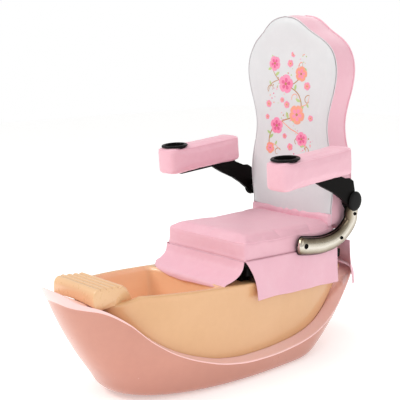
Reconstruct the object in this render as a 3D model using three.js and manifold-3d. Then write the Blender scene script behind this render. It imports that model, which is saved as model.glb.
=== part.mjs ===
// Pedicure spa chair: a boat-shaped foot-bath tub, a seat frame with a padded seat
// and back, and two flip-up armrests with cup holders.
// Millimetres, +Z up. The sitter faces -Y and the sitter's left is +X.
// Origin: the middle of the footprint box, on the floor.
import * as THREE from 'three';
import { mergeVertices } from 'three/addons/utils/BufferGeometryUtils.js';
import Module from 'manifold-3d';

const wasm = await Module();
wasm.setup();

// ---------------------------------------------------------------- dimensions
const MODEL_SHIFT_Y = 190.57;         // moves the design frame to the footprint's middle

// hull: outline of the outer shell at a few heights above the floor
const HULL_Z    = [3, 25, 70, 150, 260, 400];
const HULL_BOW  = [-566, -619, -650, -703, -763, -823];
const HULL_STERN= [140, 188, 262, 357, 440, 470];
const HULL_HALF = [222, 231, 234, 236, 234, 236];
const HULL_BEAM_Y = -20;             // station of the widest section
const HULL_N_BOW = 2.3, HULL_N_STERN = 3.45;
const HULL_WALL = 8;
// cut edge of the outer shell: height against length
const EDGE_Y = [-840, -822, -770, -711, -641, -565, -484, -395, -298, -193, -99, 1, 81, 150, 229, 292, 341, 375, 445];
const EDGE_Z = [ 392,  388,  350,  325,  277,  205,  149,  109,   80,   66,  64, 69, 80,  97, 132, 172, 222, 246, 250];
const EDGE_RISE = 8;                 // the ledge climbs this much towards the basin wall

// basin moulding: outline of its outer wall
const TUB_Z    = [16, 70, 150, 260, 350];
const TUB_BOW  = [-545, -596, -640, -675, -694];
const TUB_STERN= [110, 205, 305, 384, 398];
const TUB_HALF = [176, 187, 190, 193, 197];
const TUB_N_BOW = 3.1, TUB_N_STERN = 3.6;
const RIM_Z_AT_M300 = 322, RIM_SLOPE = -0.077;   // rim height at y=-300 and its fall to the stern
const RIM_LIP = 14;                  // width of the rolled rim
const BASIN_REAR_Y = -285;           // front face of the seat pedestal
const BASIN_FLOOR_Z = 62;
const TUB_WALL = 8;

// seat
const SEAT_FRONT_Y = -200, SEAT_TOP_Z = 452, SEAT_TILT = -2.2;   // front edge is the higher one
const SEAT_HALF = 193, SEAT_DEPTH = 462, SEAT_THICK = 72;
const BOARD_T = 12, RAIL_H = 30, FRAME_DEPTH = 488;

// backrest
const BACK_Y = 234, BACK_Z = 472, BACK_LEAN = 1.4;
const BACK_OUTLINE = [ // half width, height above the floor
  [0, 1167], [38, 1161], [64, 1150], [88, 1133], [110, 1115], [134, 1099], [158, 1082], [180, 1060], [196, 1034], [206, 1000], [207, 960],
  [197, 908], [182, 860], [171, 815], [168, 775], [173, 732], [184, 688], [193, 640], [196, 590], [192, 540], [187, 500], [186, 438],
];
const PAD_T = 30, GUSSET_T = 64, REAR_T = 8, GUSSET_W = 14;

// armrests
const ARM_X = 264.7;                 // pad centre line
const CUP_Y = -97.8, PAD_TOP_Z = 711, ARM_TILT = 4.3;
const PAD_HALF_W = 50, PAD_FRONT = 56, PAD_REAR = 294, PAD_H = 94;
const CUP_FLANGE_R = 47.5, CUP_R = 38, CUP_DEPTH = 62, CUP_LIP = 6;
const HUB_Y = 285.4, HUB_Z = 527.6, BOSS_R = 22, PIVOT_R = 8, HUB_CAP_R = 35;
const WEB_IN = [236, 242.1], WEB_OUT = [241.9, 248];  // the two layers of the arm bracket's casting
const TUBE_W = 60, TUBE_D = 19;
const TUBE_PATH = [[213.5, 38, 402], [213.5, 80, 394], [213.5, 122.6, 387.8], [213.5, 169.4, 384.7], [214.5, 217.6, 389.2], [216, 263.9, 405.1], [218, 293.7, 427.3], [220.5, 310.7, 452.4], [222, 313.5, 484.4], [222.5, 316, 499]];

// footrest
const FR_HALF = 106, FR_FRONT = -728, FR_REAR = -590, FR_BOTTOM = 326;
const FR_PIN_Y = -721, FR_PIN_Z = 343.5;

// ---------------------------------------------------------------- materials
const mat = (color, roughness, metalness = 0) => new THREE.MeshStandardMaterial({ color, roughness, metalness });
const PINK_GEL = () => mat(0xe3a394, 0.3), TAN_GEL = () => mat(0xe9bf92, 0.32), VINYL = () => mat(0xf2bfd2, 0.5);
const WHITE_VINYL = () => mat(0xe9e9ea, 0.5), BLACK = () => mat(0x151515, 0.45, 0.3), CHROME = () => mat(0xd8d6cf, 0.12, 1);
const STEEL = () => mat(0xb4b4b0, 0.35, 1), RUBBER = () => mat(0x222222, 0.8), PLY = () => mat(0xc49a62, 0.7), PLASTIC = () => mat(0xf0e8de, 0.4);
const GREY = () => mat(0x6b6e70, 0.5);

// ---------------------------------------------------------------- helpers
const D2R = Math.PI / 180;
function lerpTable(xs, ys, x) {
  // monotone cubic through the table
  const n = xs.length;
  if (x <= xs[0]) return ys[0];
  if (x >= xs[n - 1]) return ys[n - 1];
  let i = 0; while (x > xs[i + 1]) i++;
  const d = []; for (let k = 0; k < n - 1; k++) d.push((ys[k + 1] - ys[k]) / (xs[k + 1] - xs[k]));
  const slope = (k) => {
    if (k === 0) return d[0];
    if (k === n - 1) return d[n - 2];
    if (d[k - 1] * d[k] <= 0) return 0;
    return 2 * d[k - 1] * d[k] / (d[k - 1] + d[k]);
  };
  const h = xs[i + 1] - xs[i], t = (x - xs[i]) / h, m0 = slope(i) * h, m1 = slope(i + 1) * h;
  return ys[i] * (2 * t ** 3 - 3 * t * t + 1) + m0 * (t ** 3 - 2 * t * t + t) + ys[i + 1] * (-2 * t ** 3 + 3 * t * t) + m1 * (t ** 3 - t * t);
}
function fromTriangles(verts, tris) {
  const g = new THREE.BufferGeometry();
  g.setAttribute('position', new THREE.Float32BufferAttribute(verts.flat(), 3));
  g.setIndex(tris.flat());
  let v = 0; const a = new THREE.Vector3(), b = new THREE.Vector3(), c = new THREE.Vector3();
  for (const t of tris) { a.fromArray(verts[t[0]]); b.fromArray(verts[t[1]]); c.fromArray(verts[t[2]]); v += a.dot(b.clone().cross(c)); }
  if (v < 0) g.setIndex(tris.map((t) => [t[0], t[2], t[1]]).flat());
  return g;
}
// closed body through rings of equal length, with a fan at each end (to an optional pole point)
function loft(rings, poleA, poleB) {
  const n = rings[0].length, verts = rings.flat(), tris = [];
  for (let r = 0; r < rings.length - 1; r++) for (let i = 0; i < n; i++) {
    const a = r * n + i, b = r * n + (i + 1) % n, c = a + n, d = b + n;
    tris.push([a, b, d], [a, d, c]);
  }
  const mid = (ring) => ring.reduce((s, p) => [s[0] + p[0] / n, s[1] + p[1] / n, s[2] + p[2] / n], [0, 0, 0]);
  const A = verts.length; verts.push(poleA || mid(rings[0]));
  const B = verts.length; verts.push(poleB || mid(rings[rings.length - 1]));
  const last = (rings.length - 1) * n;
  for (let i = 0; i < n; i++) { tris.push([A, (i + 1) % n, i]); tris.push([B, last + i, last + (i + 1) % n]); }
  return fromTriangles(verts, tris);
}
function box(x0, x1, y0, y1, z0, z1) {
  const g = new THREE.BoxGeometry(x1 - x0, y1 - y0, z1 - z0);
  g.translate((x0 + x1) / 2, (y0 + y1) / 2, (z0 + z1) / 2);
  return g;
}
function cyl(axis, r, a0, a1, u, v, seg = 24, r2 = r) {
  const g = new THREE.CylinderGeometry(r2, r, a1 - a0, seg);   // along +Y, from a0 to a1
  if (axis === 'x') { g.rotateZ(-Math.PI / 2); g.translate((a0 + a1) / 2, u, v); }
  if (axis === 'y') g.translate(u, (a0 + a1) / 2, v);
  if (axis === 'z') { g.rotateX(Math.PI / 2); g.translate(u, v, (a0 + a1) / 2); }
  return g;
}
function lathe(points, seg = 32) {   // points: [radius, height]; revolved about +Z
  const g = new THREE.LatheGeometry(points.map((p) => new THREE.Vector2(p[0], p[1])), seg);
  g.rotateX(Math.PI / 2);
  return g;
}
function extrudeX(pts, x0, x1) {     // profile [y, z] pulled along X
  const s = new THREE.Shape(pts.map((p) => new THREE.Vector2(p[0], p[1])));
  const g = new THREE.ExtrudeGeometry(s, { depth: x1 - x0, bevelEnabled: false, curveSegments: 6 });
  g.applyMatrix4(new THREE.Matrix4().set(0, 0, 1, x0, 1, 0, 0, 0, 0, 1, 0, 0, 0, 0, 0, 1));
  return g;
}
function extrudeY(pts, y0, y1, holes = []) {     // profile [x, z] pulled along Y
  const s = new THREE.Shape(pts.map((p) => new THREE.Vector2(p[0], p[1])));
  for (const h of holes) s.holes.push(new THREE.Path(h.map((p) => new THREE.Vector2(p[0], p[1]))));
  const g = new THREE.ExtrudeGeometry(s, { depth: y1 - y0, bevelEnabled: false });
  g.applyMatrix4(new THREE.Matrix4().set(1, 0, 0, 0, 0, 0, -1, y1, 0, 1, 0, 0, 0, 0, 0, 1));
  return g;
}
function solid(g) {
  const c = g.clone();
  for (const k of Object.keys(c.attributes)) if (k !== 'position') c.deleteAttribute(k);
  const m = mergeVertices(c, 1e-4);
  // drop triangles that collapsed in the merge
  const idx = [], src = m.index.array;
  for (let i = 0; i < src.length; i += 3) if (src[i] !== src[i + 1] && src[i + 1] !== src[i + 2] && src[i] !== src[i + 2]) idx.push(src[i], src[i + 1], src[i + 2]);
  const pos = m.attributes.position.array;
  let v = 0;
  for (let i = 0; i < idx.length; i += 3) {
    const [a, b, d] = [idx[i] * 3, idx[i + 1] * 3, idx[i + 2] * 3];
    v += pos[a] * (pos[b + 1] * pos[d + 2] - pos[b + 2] * pos[d + 1]) - pos[a + 1] * (pos[b] * pos[d + 2] - pos[b + 2] * pos[d]) + pos[a + 2] * (pos[b] * pos[d + 1] - pos[b + 1] * pos[d]);
  }
  if (v < 0) for (let i = 0; i < idx.length; i += 3) { const t = idx[i + 1]; idx[i + 1] = idx[i + 2]; idx[i + 2] = t; }
  return new wasm.Manifold(new wasm.Mesh({ numProp: 3, vertProperties: new Float32Array(pos), triVerts: new Uint32Array(idx) }));
}
function back(m) {
  const q = m.getMesh(), g = new THREE.BufferGeometry();
  g.setAttribute('position', new THREE.BufferAttribute(new Float32Array(q.vertProperties), 3));
  g.setIndex(new THREE.BufferAttribute(new Uint32Array(q.triVerts), 1));
  return g;
}
const cut = (a, ...bs) => back(bs.reduce((m, b) => m.subtract(solid(b)), solid(a)));
const join = (a, ...bs) => back(bs.reduce((m, b) => m.add(solid(b)), solid(a)));
const mirrorX = (g) => { const c = solid(g).mirror([1, 0, 0]); return back(c); };

const chair = new THREE.Group();
chair.position.set(0, MODEL_SHIFT_Y, 0);
function put(parent, name, geometry, material) {
  const g = geometry.index ? geometry.toNonIndexed() : geometry;
  for (const k of Object.keys(g.attributes)) if (k !== 'position') g.deleteAttribute(k);
  g.computeVertexNormals();
  const m = new THREE.Mesh(g, material); m.name = name; parent.add(m);
  return m;
}
const subGroup = (x, y, z, rx = 0) => { const g = new THREE.Group(); g.position.set(x, y, z); g.rotation.x = rx * D2R; chair.add(g); return g; };

// ---------------------------------------------------------------- tub outer shell
const tub = new THREE.Group(); chair.add(tub);
const SEG = 48;
function section(zs, bow, stern, half, nb, ns, z, a, grow = 0) {
  const Yf = lerpTable(zs, bow, z) - grow, Yr = lerpTable(zs, stern, z) + grow, b = lerpTable(zs, half, z) + grow;
  const c = Math.cos(a), s = Math.sin(a), n = c < 0 ? nb : ns;
  const y = HULL_BEAM_Y + (c < 0 ? (HULL_BEAM_Y - Yf) : (Yr - HULL_BEAM_Y)) * Math.sign(c) * Math.abs(c) ** (2 / n);
  return [b * Math.sign(s) * Math.abs(s) ** (2 / n), y, z];
}
const hullAt = (z, a, grow = 0) => section(HULL_Z, HULL_BOW, HULL_STERN, HULL_HALF, HULL_N_BOW, HULL_N_STERN, z, a, grow);
const tubAt = (z, a, grow = 0) => section(TUB_Z, TUB_BOW, TUB_STERN, TUB_HALF, TUB_N_BOW, TUB_N_STERN, z, a, grow);
// angles spread so that the outline's points are about evenly spaced along it
const ANGLES = (() => {
  const N = 720, L = [0]; let p = hullAt(200, 0);
  for (let i = 1; i <= N; i++) { const q = hullAt(200, 2 * Math.PI * i / N); L.push(L[i - 1] + Math.hypot(q[0] - p[0], q[1] - p[1])); p = q; }
  const out = [];
  for (let k = 0; k < SEG; k++) { const t = L[N] * k / SEG; let i = 0; while (L[i + 1] < t) i++; out.push(2 * Math.PI * (i + (t - L[i]) / (L[i + 1] - L[i])) / N); }
  return out;
})();
const edgeZ = (y) => lerpTable(EDGE_Y, EDGE_Z, y);
// the ledge's inner line: a little higher than the cut edge, except on the foredeck
const ledgeZ = (y) => edgeZ(y) + EDGE_RISE * Math.min(1, Math.max(0.2, (y + 720) / 150));
function topOf(a, grow = 0) {
  let lo = 40, hi = 400;
  for (let i = 0; i < 50; i++) { const z = (lo + hi) / 2; if (z < edgeZ(hullAt(z, a, grow)[1])) lo = z; else hi = z; }
  return lo;
}
// the cable gland sits square to the stern's sloping skin
const GLAND_ANGLE = 0.22, GLAND_Z = 118;
const glandPlace = (g) => {
  const p = new THREE.Vector3(...hullAt(GLAND_Z, GLAND_ANGLE)), du = new THREE.Vector3(...hullAt(GLAND_Z, GLAND_ANGLE + 0.02)).sub(p), dz = new THREE.Vector3(...hullAt(GLAND_Z + 4, GLAND_ANGLE)).sub(p);
  const n = du.cross(dz).normalize(); if (n.y < 0) n.negate();
  g.applyQuaternion(new THREE.Quaternion().setFromUnitVectors(new THREE.Vector3(0, 0, 1), n));
  g.translate(p.x, p.y, p.z);
  return g;
};
{
  const rings = [];
  const tops = ANGLES.map((a) => topOf(a));
  rings.push(ANGLES.map((a) => { const p = hullAt(3, a, -14); return [p[0], p[1], 3]; }));
  rings.push(ANGLES.map((a) => { const p = hullAt(7, a, -3); return [p[0], p[1], 7]; }));
  for (const f of [0.1, 0.3, 0.62, 1]) rings.push(ANGLES.map((a, i) => hullAt(14 + (tops[i] - 14) * f, a)));
  // ledge: in to the basin wall, then down its edge
  const ledge = (dz, grow) => ANGLES.map((a) => {
    let lo = 30, hi = 400;
    for (let i = 0; i < 50; i++) { const z = (lo + hi) / 2; if (z < ledgeZ(tubAt(z, a, grow)[1])) lo = z; else hi = z; }
    const p = tubAt(lo, a, grow); return [p[0], p[1], lo + dz];
  });
  rings.push(ledge(0, 1.2));
  rings.push(ledge(-HULL_WALL, 1.2));
  rings.push(ANGLES.map((a, i) => { const z = tops[i] - HULL_WALL - 1; const p = hullAt(z, a, -HULL_WALL); return p; }));
  for (const f of [0.6, 0.14]) rings.push(ANGLES.map((a, i) => hullAt(16 + (tops[i] - HULL_WALL - 1 - 16) * f, a, -HULL_WALL)));
  rings.push(ANGLES.map((a) => { const p = hullAt(11, a, -24); return [p[0], p[1], 11]; }));
  let g = loft(rings, [0, -180, 3], [0, -180, 11]);
  // drain outlet through the bottom, and the cable gland's hole square to the stern's skin
  g = cut(g, cyl('z', 34, -10, 20, 0, -430, 24), glandPlace(cyl('z', 9, -40, 20, 0, 0, 16)));
  put(tub, 'tub_outer_shell', g, PINK_GEL());
}
// ---------------------------------------------------------------- basin moulding
const rimZ = (y) => {
  const line = RIM_Z_AT_M300 + RIM_SLOPE * (y + 300);
  return y > -590 ? line : Math.min(line, lerpTable([-700, -660, -620, -590], [322, 324, 334, 344], y));
};
const tubWidth = (y, z) => {
  const Yf = lerpTable(TUB_Z, TUB_BOW, z), Yr = lerpTable(TUB_Z, TUB_STERN, z), b = lerpTable(TUB_Z, TUB_HALF, z);
  if (y <= Yf || y >= Yr) return 0;
  const u = y < HULL_BEAM_Y ? (HULL_BEAM_Y - y) / (HULL_BEAM_Y - Yf) : (y - HULL_BEAM_Y) / (Yr - HULL_BEAM_Y), n = y < HULL_BEAM_Y ? TUB_N_BOW : TUB_N_STERN;
  return b * Math.max(0, 1 - u ** n) ** (1 / n);
};
{
  const top = (a, grow = 0) => { let lo = 40, hi = 380; for (let i = 0; i < 50; i++) { const z = (lo + hi) / 2; if (z < rimZ(tubAt(z, a, grow)[1])) lo = z; else hi = z; } return lo; };
  const shellRings = (grow, zBottom, drop) => {
    const tops = ANGLES.map((a) => top(a, grow) - drop), rings = [];
    for (const f of [0, 0.2, 0.55, 1]) rings.push(ANGLES.map((a, i) => tubAt(zBottom + (tops[i] - zBottom) * f, a, grow)));
    return rings;
  };
  const body = loft(shellRings(0, 16, 0), [0, -150, 16], [0, -150, rimZ(-150)]);
  // foot bath: walls lean in towards the floor, the rear corners are rounded
  const bath = (grow) => {
    const rings = [], lv = [[BASIN_FLOOR_Z - grow, 74, -505, -318], [BASIN_FLOOR_Z + 10 - grow * 0.8, 52, -545, -300], [110, 34, -590, -290], [200, 21, -640, -290], [285, 16, -665, -286], [380, RIM_LIP, -682, BASIN_REAR_Y]];
    for (const [z, inset, yf, yr] of lv) {
      const ring = [], n = 17, y0 = yf - grow, y1 = yr + grow;
      const half = [];
      for (let i = 0; i <= n; i++) {
        const t = i / n, y = y0 + (y1 - y0) * (0.5 - 0.5 * Math.cos(Math.PI * t));
        const zz = Math.min(z, 345);
        let w = Math.max(0, tubWidth(Math.max(y, y0), zz) - inset + grow);
        const e = (y1 - y) / 28; if (e < 1) w *= Math.max(0, 1 - (1 - e) ** 2.6) ** (1 / 2.6);
        const f = (y - y0) / 70; if (f < 1) w *= Math.max(0, 1 - (1 - f) ** 2.2) ** (1 / 2.2);
        half.push([w, y, z]);
      }
      ring.push(...half);
      for (let i = n - 1; i > 0; i--) ring.push([-half[i][0], half[i][1], half[i][2]]);
      rings.push(ring);
    }
    return loft(rings, [0, -410, lv[0][0]], [0, -480, 380]);
  };
  const inner = loft(shellRings(-TUB_WALL, 2, TUB_WALL), [0, -150, 2], [0, -150, rimZ(-150) - TUB_WALL]);
  let shell = solid(body).subtract(solid(inner).subtract(solid(bath(TUB_WALL)))).subtract(solid(bath(0)));
  // drain hole in the floor and jet hole in the rear wall
  shell = shell.subtract(solid(cyl('z', 24, 20, 100, 0, -430, 24))).subtract(solid(cyl('y', 40.5, -360, -240, 0, 180, 24)));
  const parts = shell.decompose().sort((a, b) => b.volume() - a.volume());
  put(tub, 'basin_shell', back(parts[0]), TAN_GEL());
}
// ---------------------------------------------------------------- feet, drain, jet, cable gland
for (const [n, x, y] of [['foot_pad_front_left', 90, -470], ['foot_pad_front_right', -90, -470], ['foot_pad_rear_left', 150, 20], ['foot_pad_rear_right', -150, 20]])
  put(tub, n, cyl('z', 28, 0, 2.7, x, y, 24), RUBBER());
{
  const F = BASIN_FLOOR_Z, x = 0, y = -430;
  const at = (g) => { g.translate(x, y, 0); return g; };
  // flange with its threaded neck, a ring open through the middle
  put(tub, 'drain_flange', at(lathe([[19, F - 44], [22.5, F - 44], [22.5, F + 0.3], [33, F + 0.3], [31, F + 3], [21.5, F + 3], [19, F + 1], [19, F - 44]], 20)), CHROME());
  put(tub, 'drain_lock_nut', at(lathe([[22.9, F - 17], [34, F - 17], [34, F - 8.4], [22.9, F - 8.4], [22.9, F - 17]], 6 * 4)), PLASTIC());
  put(tub, 'drain_tailpipe', at(lathe([[23.2, F - 21], [23.2, F - 48], [19, F - 48], [19, -0 + 6], [23, 6], [27, F - 52], [27, F - 21], [23.2, F - 21]], 20)), PLASTIC());
  put(tub, 'drain_stopper', at(lathe([[0, F - 32], [3, F - 32], [3, F - 4], [15, F - 2], [18.4, F + 1.5], [18.4, F + 4], [14, F + 6.5], [0, F + 7.2]], 20)), CHROME());
}
{
  const zc = 180, turn = (g) => { g.rotateX(Math.PI / 2); g.translate(0, 0, zc); return g; };  // +Z of the lathe points to -Y
  const yw = -BASIN_REAR_Y + 7.3;   // distance of the wall face along -Y
  put(tub, 'jet_body', turn(lathe([[33, yw - 34], [38.5, yw - 34], [38.5, yw + 0.6], [50, yw + 0.6], [50, yw + 5], [36, yw + 5], [36, yw - 28], [6, yw - 28], [6, yw - 30.5], [33, yw - 30.5], [33, yw - 34]], 24)), PLASTIC());
  put(tub, 'jet_lock_nut', turn(lathe([[39, yw - 28], [48, yw - 28], [48, yw - 16], [39, yw - 16], [39, yw - 28]], 24)), GREY());
  const blades = [];
  for (let k = 0; k < 6; k++) { const b = box(7, 27, -1.3, 1.3, yw - 24, yw - 6); b.rotateZ(k * Math.PI / 3); blades.push(b); }
  put(tub, 'jet_impeller', turn(join(lathe([[0, yw - 27], [28, yw - 27], [28, yw - 23.5], [9, yw - 23.5], [9, yw - 5], [0, yw - 5]], 24), ...blades)), PLASTIC());
  let cover = lathe([[0, yw + 12], [30, yw + 12], [47, yw + 9], [50, yw + 5.4], [40, yw + 5.4], [34, yw + 8], [0, yw + 9]], 24);
  const holes = [];
  for (let k = 0; k < 8; k++) { const a = k * Math.PI / 4; holes.push(cyl('z', 4.5, yw, yw + 20, 22 * Math.cos(a), 22 * Math.sin(a), 8)); }
  put(tub, 'jet_cover', turn(cut(cover, ...holes)), PLASTIC());
  put(tub, 'jet_motor', turn(lathe([[0, yw - 96], [30, yw - 96], [34, yw - 92], [34, yw - 40], [31, yw - 34.6], [0, yw - 34.6]], 20)), GREY());
}
{
  // cable gland in the stern
  const g = glandPlace(lathe([[4, -14], [7.6, -14], [8.4, -12], [8.4, 2], [14, 2], [14, 8], [11, 10], [10, 22], [7, 25], [4, 25], [4, -14]], 20));
  put(tub, 'power_gland', g, BLACK());
}
// ---------------------------------------------------------------- footrest
{
  const rest = new THREE.Group(); chair.add(rest);
  // side view: the foot follows the sloping foredeck, the ribbed top falls towards the bath
  const prof = [[FR_FRONT, 336.8], [-706, FR_BOTTOM + 0.4], [FR_REAR, FR_BOTTOM], [FR_REAR - 4, 340], [FR_REAR - 20, 368]];
  const nRib = 4, y1 = -614, y0 = -708, p = (y1 - y0) / nRib, topZ = (y) => 376 + (384.5 - 376) * (y1 - y) / (y1 - y0);
  for (let k = 0; k < nRib; k++) for (const t of [0, 0.2, 0.4, 0.6, 0.8]) { const y = y1 - p * (k + t); prof.push([y, topZ(y) - 4 + 4 * Math.sin(Math.PI * t)]); }
  prof.push([y0, 380.5], [-714, 380.5], [-722, 375], [FR_FRONT, 366]);
  const g = extrudeX(prof, -FR_HALF, FR_HALF);
  const pocket = extrudeX([[FR_FRONT + 8, 318], [FR_REAR - 7, 318], [FR_REAR - 11, 340], [FR_REAR - 28, 362], [-706, 370], [-714, 368], [FR_FRONT + 8, 362]], -FR_HALF + 7, FR_HALF - 7);
  const bore = cyl('x', 4.4, -FR_HALF + 2, FR_HALF - 2, FR_PIN_Y, FR_PIN_Z, 16);
  // the front wall is notched at each lug, so that it can swing past it
  const notch = (x) => box(x - 8.5, x + 8.5, FR_FRONT - 1, FR_FRONT + 9, FR_BOTTOM - 2, FR_PIN_Z + 10);
  put(rest, 'footrest', cut(g, pocket, bore, notch(60), notch(-60)), mat(0xf3cf9f, 0.35));
  put(rest, 'footrest_hinge_pin', cyl('x', 4, -FR_HALF + 2.5, FR_HALF - 2.5, FR_PIN_Y, FR_PIN_Z, 16), STEEL());
  for (const [n, x] of [['footrest_lug_left', 60], ['footrest_lug_right', -60]]) {
    const foot = (y) => edgeZ(y) + 4.2;   // stands on the sloping foredeck
    const lug = extrudeX([[FR_PIN_Y - 6, foot(FR_PIN_Y - 6)], [FR_PIN_Y + 14, foot(FR_PIN_Y + 14)], [FR_PIN_Y + 9, FR_PIN_Z + 3], [FR_PIN_Y + 4, FR_PIN_Z + 7.5], [FR_PIN_Y - 3.5, FR_PIN_Z + 7.5], [FR_PIN_Y - 6, FR_PIN_Z + 3]], x - 6, x + 6);
    put(rest, n, cut(lug, cyl('x', 4.35, x - 10, x + 10, FR_PIN_Y, FR_PIN_Z, 16)), STEEL());
  }
}
// ---------------------------------------------------------------- seat
const seat = subGroup(0, SEAT_FRONT_Y, SEAT_TOP_Z, SEAT_TILT);
const roundedBox = (hx, y0, y1, z0, z1, r) => {   // plan-rounded slab with softened top and bottom edges
  const w = hx - 3, l0 = y0 + 3, l1 = y1 - 3, s = new THREE.Shape();
  s.moveTo(-w + r, l0); s.lineTo(w - r, l0); s.quadraticCurveTo(w, l0, w, l0 + r); s.lineTo(w, l1 - r); s.quadraticCurveTo(w, l1, w - r, l1);
  s.lineTo(-w + r, l1); s.quadraticCurveTo(-w, l1, -w, l1 - r); s.lineTo(-w, l0 + r); s.quadraticCurveTo(-w, l0, -w + r, l0);
  const b = 3, g = new THREE.ExtrudeGeometry(s, { depth: z1 - z0 - 2 * b, bevelEnabled: true, bevelThickness: b, bevelSize: 3, bevelSegments: 1, curveSegments: 3 });
  g.translate(0, 0, z0 + b);
  return g;
};
put(seat, 'seat_cushion', roundedBox(SEAT_HALF, 0, SEAT_DEPTH, -SEAT_THICK, 0, 14), VINYL());
put(seat, 'seat_board', box(-SEAT_HALF + 3, SEAT_HALF - 3, 4, SEAT_DEPTH - 2, -SEAT_THICK - 0.5 - BOARD_T, -SEAT_THICK - 0.5), PLY());
const RZ1 = -SEAT_THICK - 0.5 - BOARD_T - 0.4, RZ0 = RZ1 - RAIL_H;
for (const [n, s] of [['seat_rail_left', 1], ['seat_rail_right', -1]]) put(seat, n, box(...(s > 0 ? [163, 193] : [-193, -163]), 8, FRAME_DEPTH, RZ0, RZ1), BLACK());
put(seat, 'seat_cross_front', box(-162.6, 162.6, 20, 50, RZ0, RZ1), BLACK());
put(seat, 'seat_cross_rear', box(-162.6, 162.6, 453, 483, RZ0, RZ1), BLACK());
const seatWorld = (y, z) => { const t = SEAT_TILT * D2R; return [SEAT_FRONT_Y + y * Math.cos(t) - z * Math.sin(t), SEAT_TOP_Z + y * Math.sin(t) + z * Math.cos(t)]; };
for (const [n, s, yl] of [['seat_post_front_left', 1, 34], ['seat_post_front_right', -1, 34], ['seat_post_rear_left', 1, 470], ['seat_post_rear_right', -1, 470]]) {
  const [yw, zt] = seatWorld(yl, RZ0), x = s * 146, h = 19;
  // sloping top and foot follow the rail above and the deck below
  const t = Math.tan(SEAT_TILT * D2R);
  const foot = (y) => rimZ(y) + 0.4, head = (y) => zt - 0.4 + t * (y - yw);
  put(chair, n, extrudeX([[yw - h, foot(yw - h)], [yw + h, foot(yw + h)], [yw + h, head(yw + h)], [yw - h, head(yw - h)]], x - 15, x + 15), BLACK());
}
// skirts: plain flaps that hang from the seat's lower edge
const flap = (a, b, t) => [a, b, [b[0], b[1] + t], [a[0], a[1] + t]];
{
  // front flap, leaning forward over the pedestal's edge
  const z0 = SEAT_TOP_Z - SEAT_THICK - 3;
  // the middle of its hem hangs over the edge into the foot bath
  put(chair, 'skirt_front', join(extrudeX([[-204, z0], [-207.2, z0], [-262, 333], [-291, 327], [-291, 322.9], [-258, 329]], -188, 188),
    extrudeX([[-290.6, 326.4], [-293, 325.6], [-296.2, 321], [-296.6, 303], [-293.4, 303], [-293, 319.5], [-290.6, 323.2]], -122, 122)), VINYL());
  for (const [n, s] of [['skirt_left', 1], ['skirt_right', -1]]) {
    const pts = [[199.5, 351], [203, 351], [222, 236], [218.5, 236]];
    const g = extrudeY(pts, -188, 262);
    put(chair, n, s > 0 ? g : mirrorX(g), VINYL());
  }
  // it lies on the stern in the middle, and its two corners hang down outside
  const tail = (s) => (s > 0 ? box(173.5, 186, 393, 396.6, 212, 274.4) : box(-186, -173.5, 393, 396.6, 212, 274.4));
  put(chair, 'skirt_rear', join(extrudeX([[345, 352], [348, 352], [392, 276], [424, 274.6], [424, 271.6], [388, 273]], -186, 186), tail(1), tail(-1)), VINYL());
}
// ---------------------------------------------------------------- backrest
const backGroup = subGroup(0, BACK_Y, BACK_Z, BACK_LEAN);
const outline = (inset = 0, base = 438) => {
  const pts = BACK_OUTLINE.map(([w, z]) => new THREE.Vector2(w, z));
  const curve = new THREE.CatmullRomCurve3(pts.slice(0, -1).map((p) => new THREE.Vector3(p.x, p.y, 0)), false, 'centripetal');
  let half = curve.getPoints(24).map((p) => [p.x, p.y]);
  half.push([BACK_OUTLINE[BACK_OUTLINE.length - 1][0], base]);
  if (inset) {
    const q = half.map((p, i) => { const a = half[Math.max(i - 1, 0)], b = half[Math.min(i + 1, half.length - 1)]; let tx = b[0] - a[0], tz = b[1] - a[1]; if (i === 0) { tx = 1; tz = 0; } const L = Math.hypot(tx, tz); return [p[0] + tz / L * inset, p[1] - tx / L * inset]; });
    q[0][0] = 0; half = q;
  }
  const left = half.slice(1).map(([x, z]) => [-x, z]).reverse();
  return [...left, ...half].map(([x, z]) => [x, z - BACK_Z]).reverse();
};
{
  // the pad is thicker at the top, like a small head roll
  const head = (z, y) => extrudeY(outline(4).filter(([, h]) => h > z - BACK_Z), y, 2);
  put(backGroup, 'backrest_front_pad', join(extrudeY(outline(2), 0, PAD_T), head(1072, -9), head(1108, -16)), WHITE_VINYL());
}
{
  const ring = cut(extrudeY(outline(0), PAD_T + 0.4, PAD_T + 0.4 + GUSSET_T), extrudeY(outline(GUSSET_W, 400), PAD_T - 5, PAD_T + GUSSET_T + 5));
  put(backGroup, 'backrest_gusset', ring, VINYL());
}
{
  const y0 = PAD_T + 0.8, holes = [];
  for (const x of [-90, 90]) for (const z of [560, 660]) holes.push([x, z]);
  let board = extrudeY(outline(GUSSET_W + 0.6, 444), y0, y0 + 12);
  put(backGroup, 'backrest_board', board, PLY());
  for (const [n, s] of [['back_upright_left', 1], ['back_upright_right', -1]]) {
    // steel strap behind the board, cranked down to the frame's rear cross bar
    put(backGroup, n, box(s * 90 - 20, s * 90 + 20, y0 + 12.4, y0 + 20.4, 333 - BACK_Z, 720 - BACK_Z), BLACK());
  }
}
put(backGroup, 'backrest_rear_cover', extrudeY(outline(1), PAD_T + GUSSET_T + 0.8, PAD_T + GUSSET_T + 0.8 + REAR_T), VINYL());
put(backGroup, 'backrest_ruffle', extrudeY([[-184, 442 - BACK_Z], [184, 442 - BACK_Z], [184, 470 - BACK_Z], [-184, 470 - BACK_Z]], -7, -0.5), VINYL());
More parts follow.
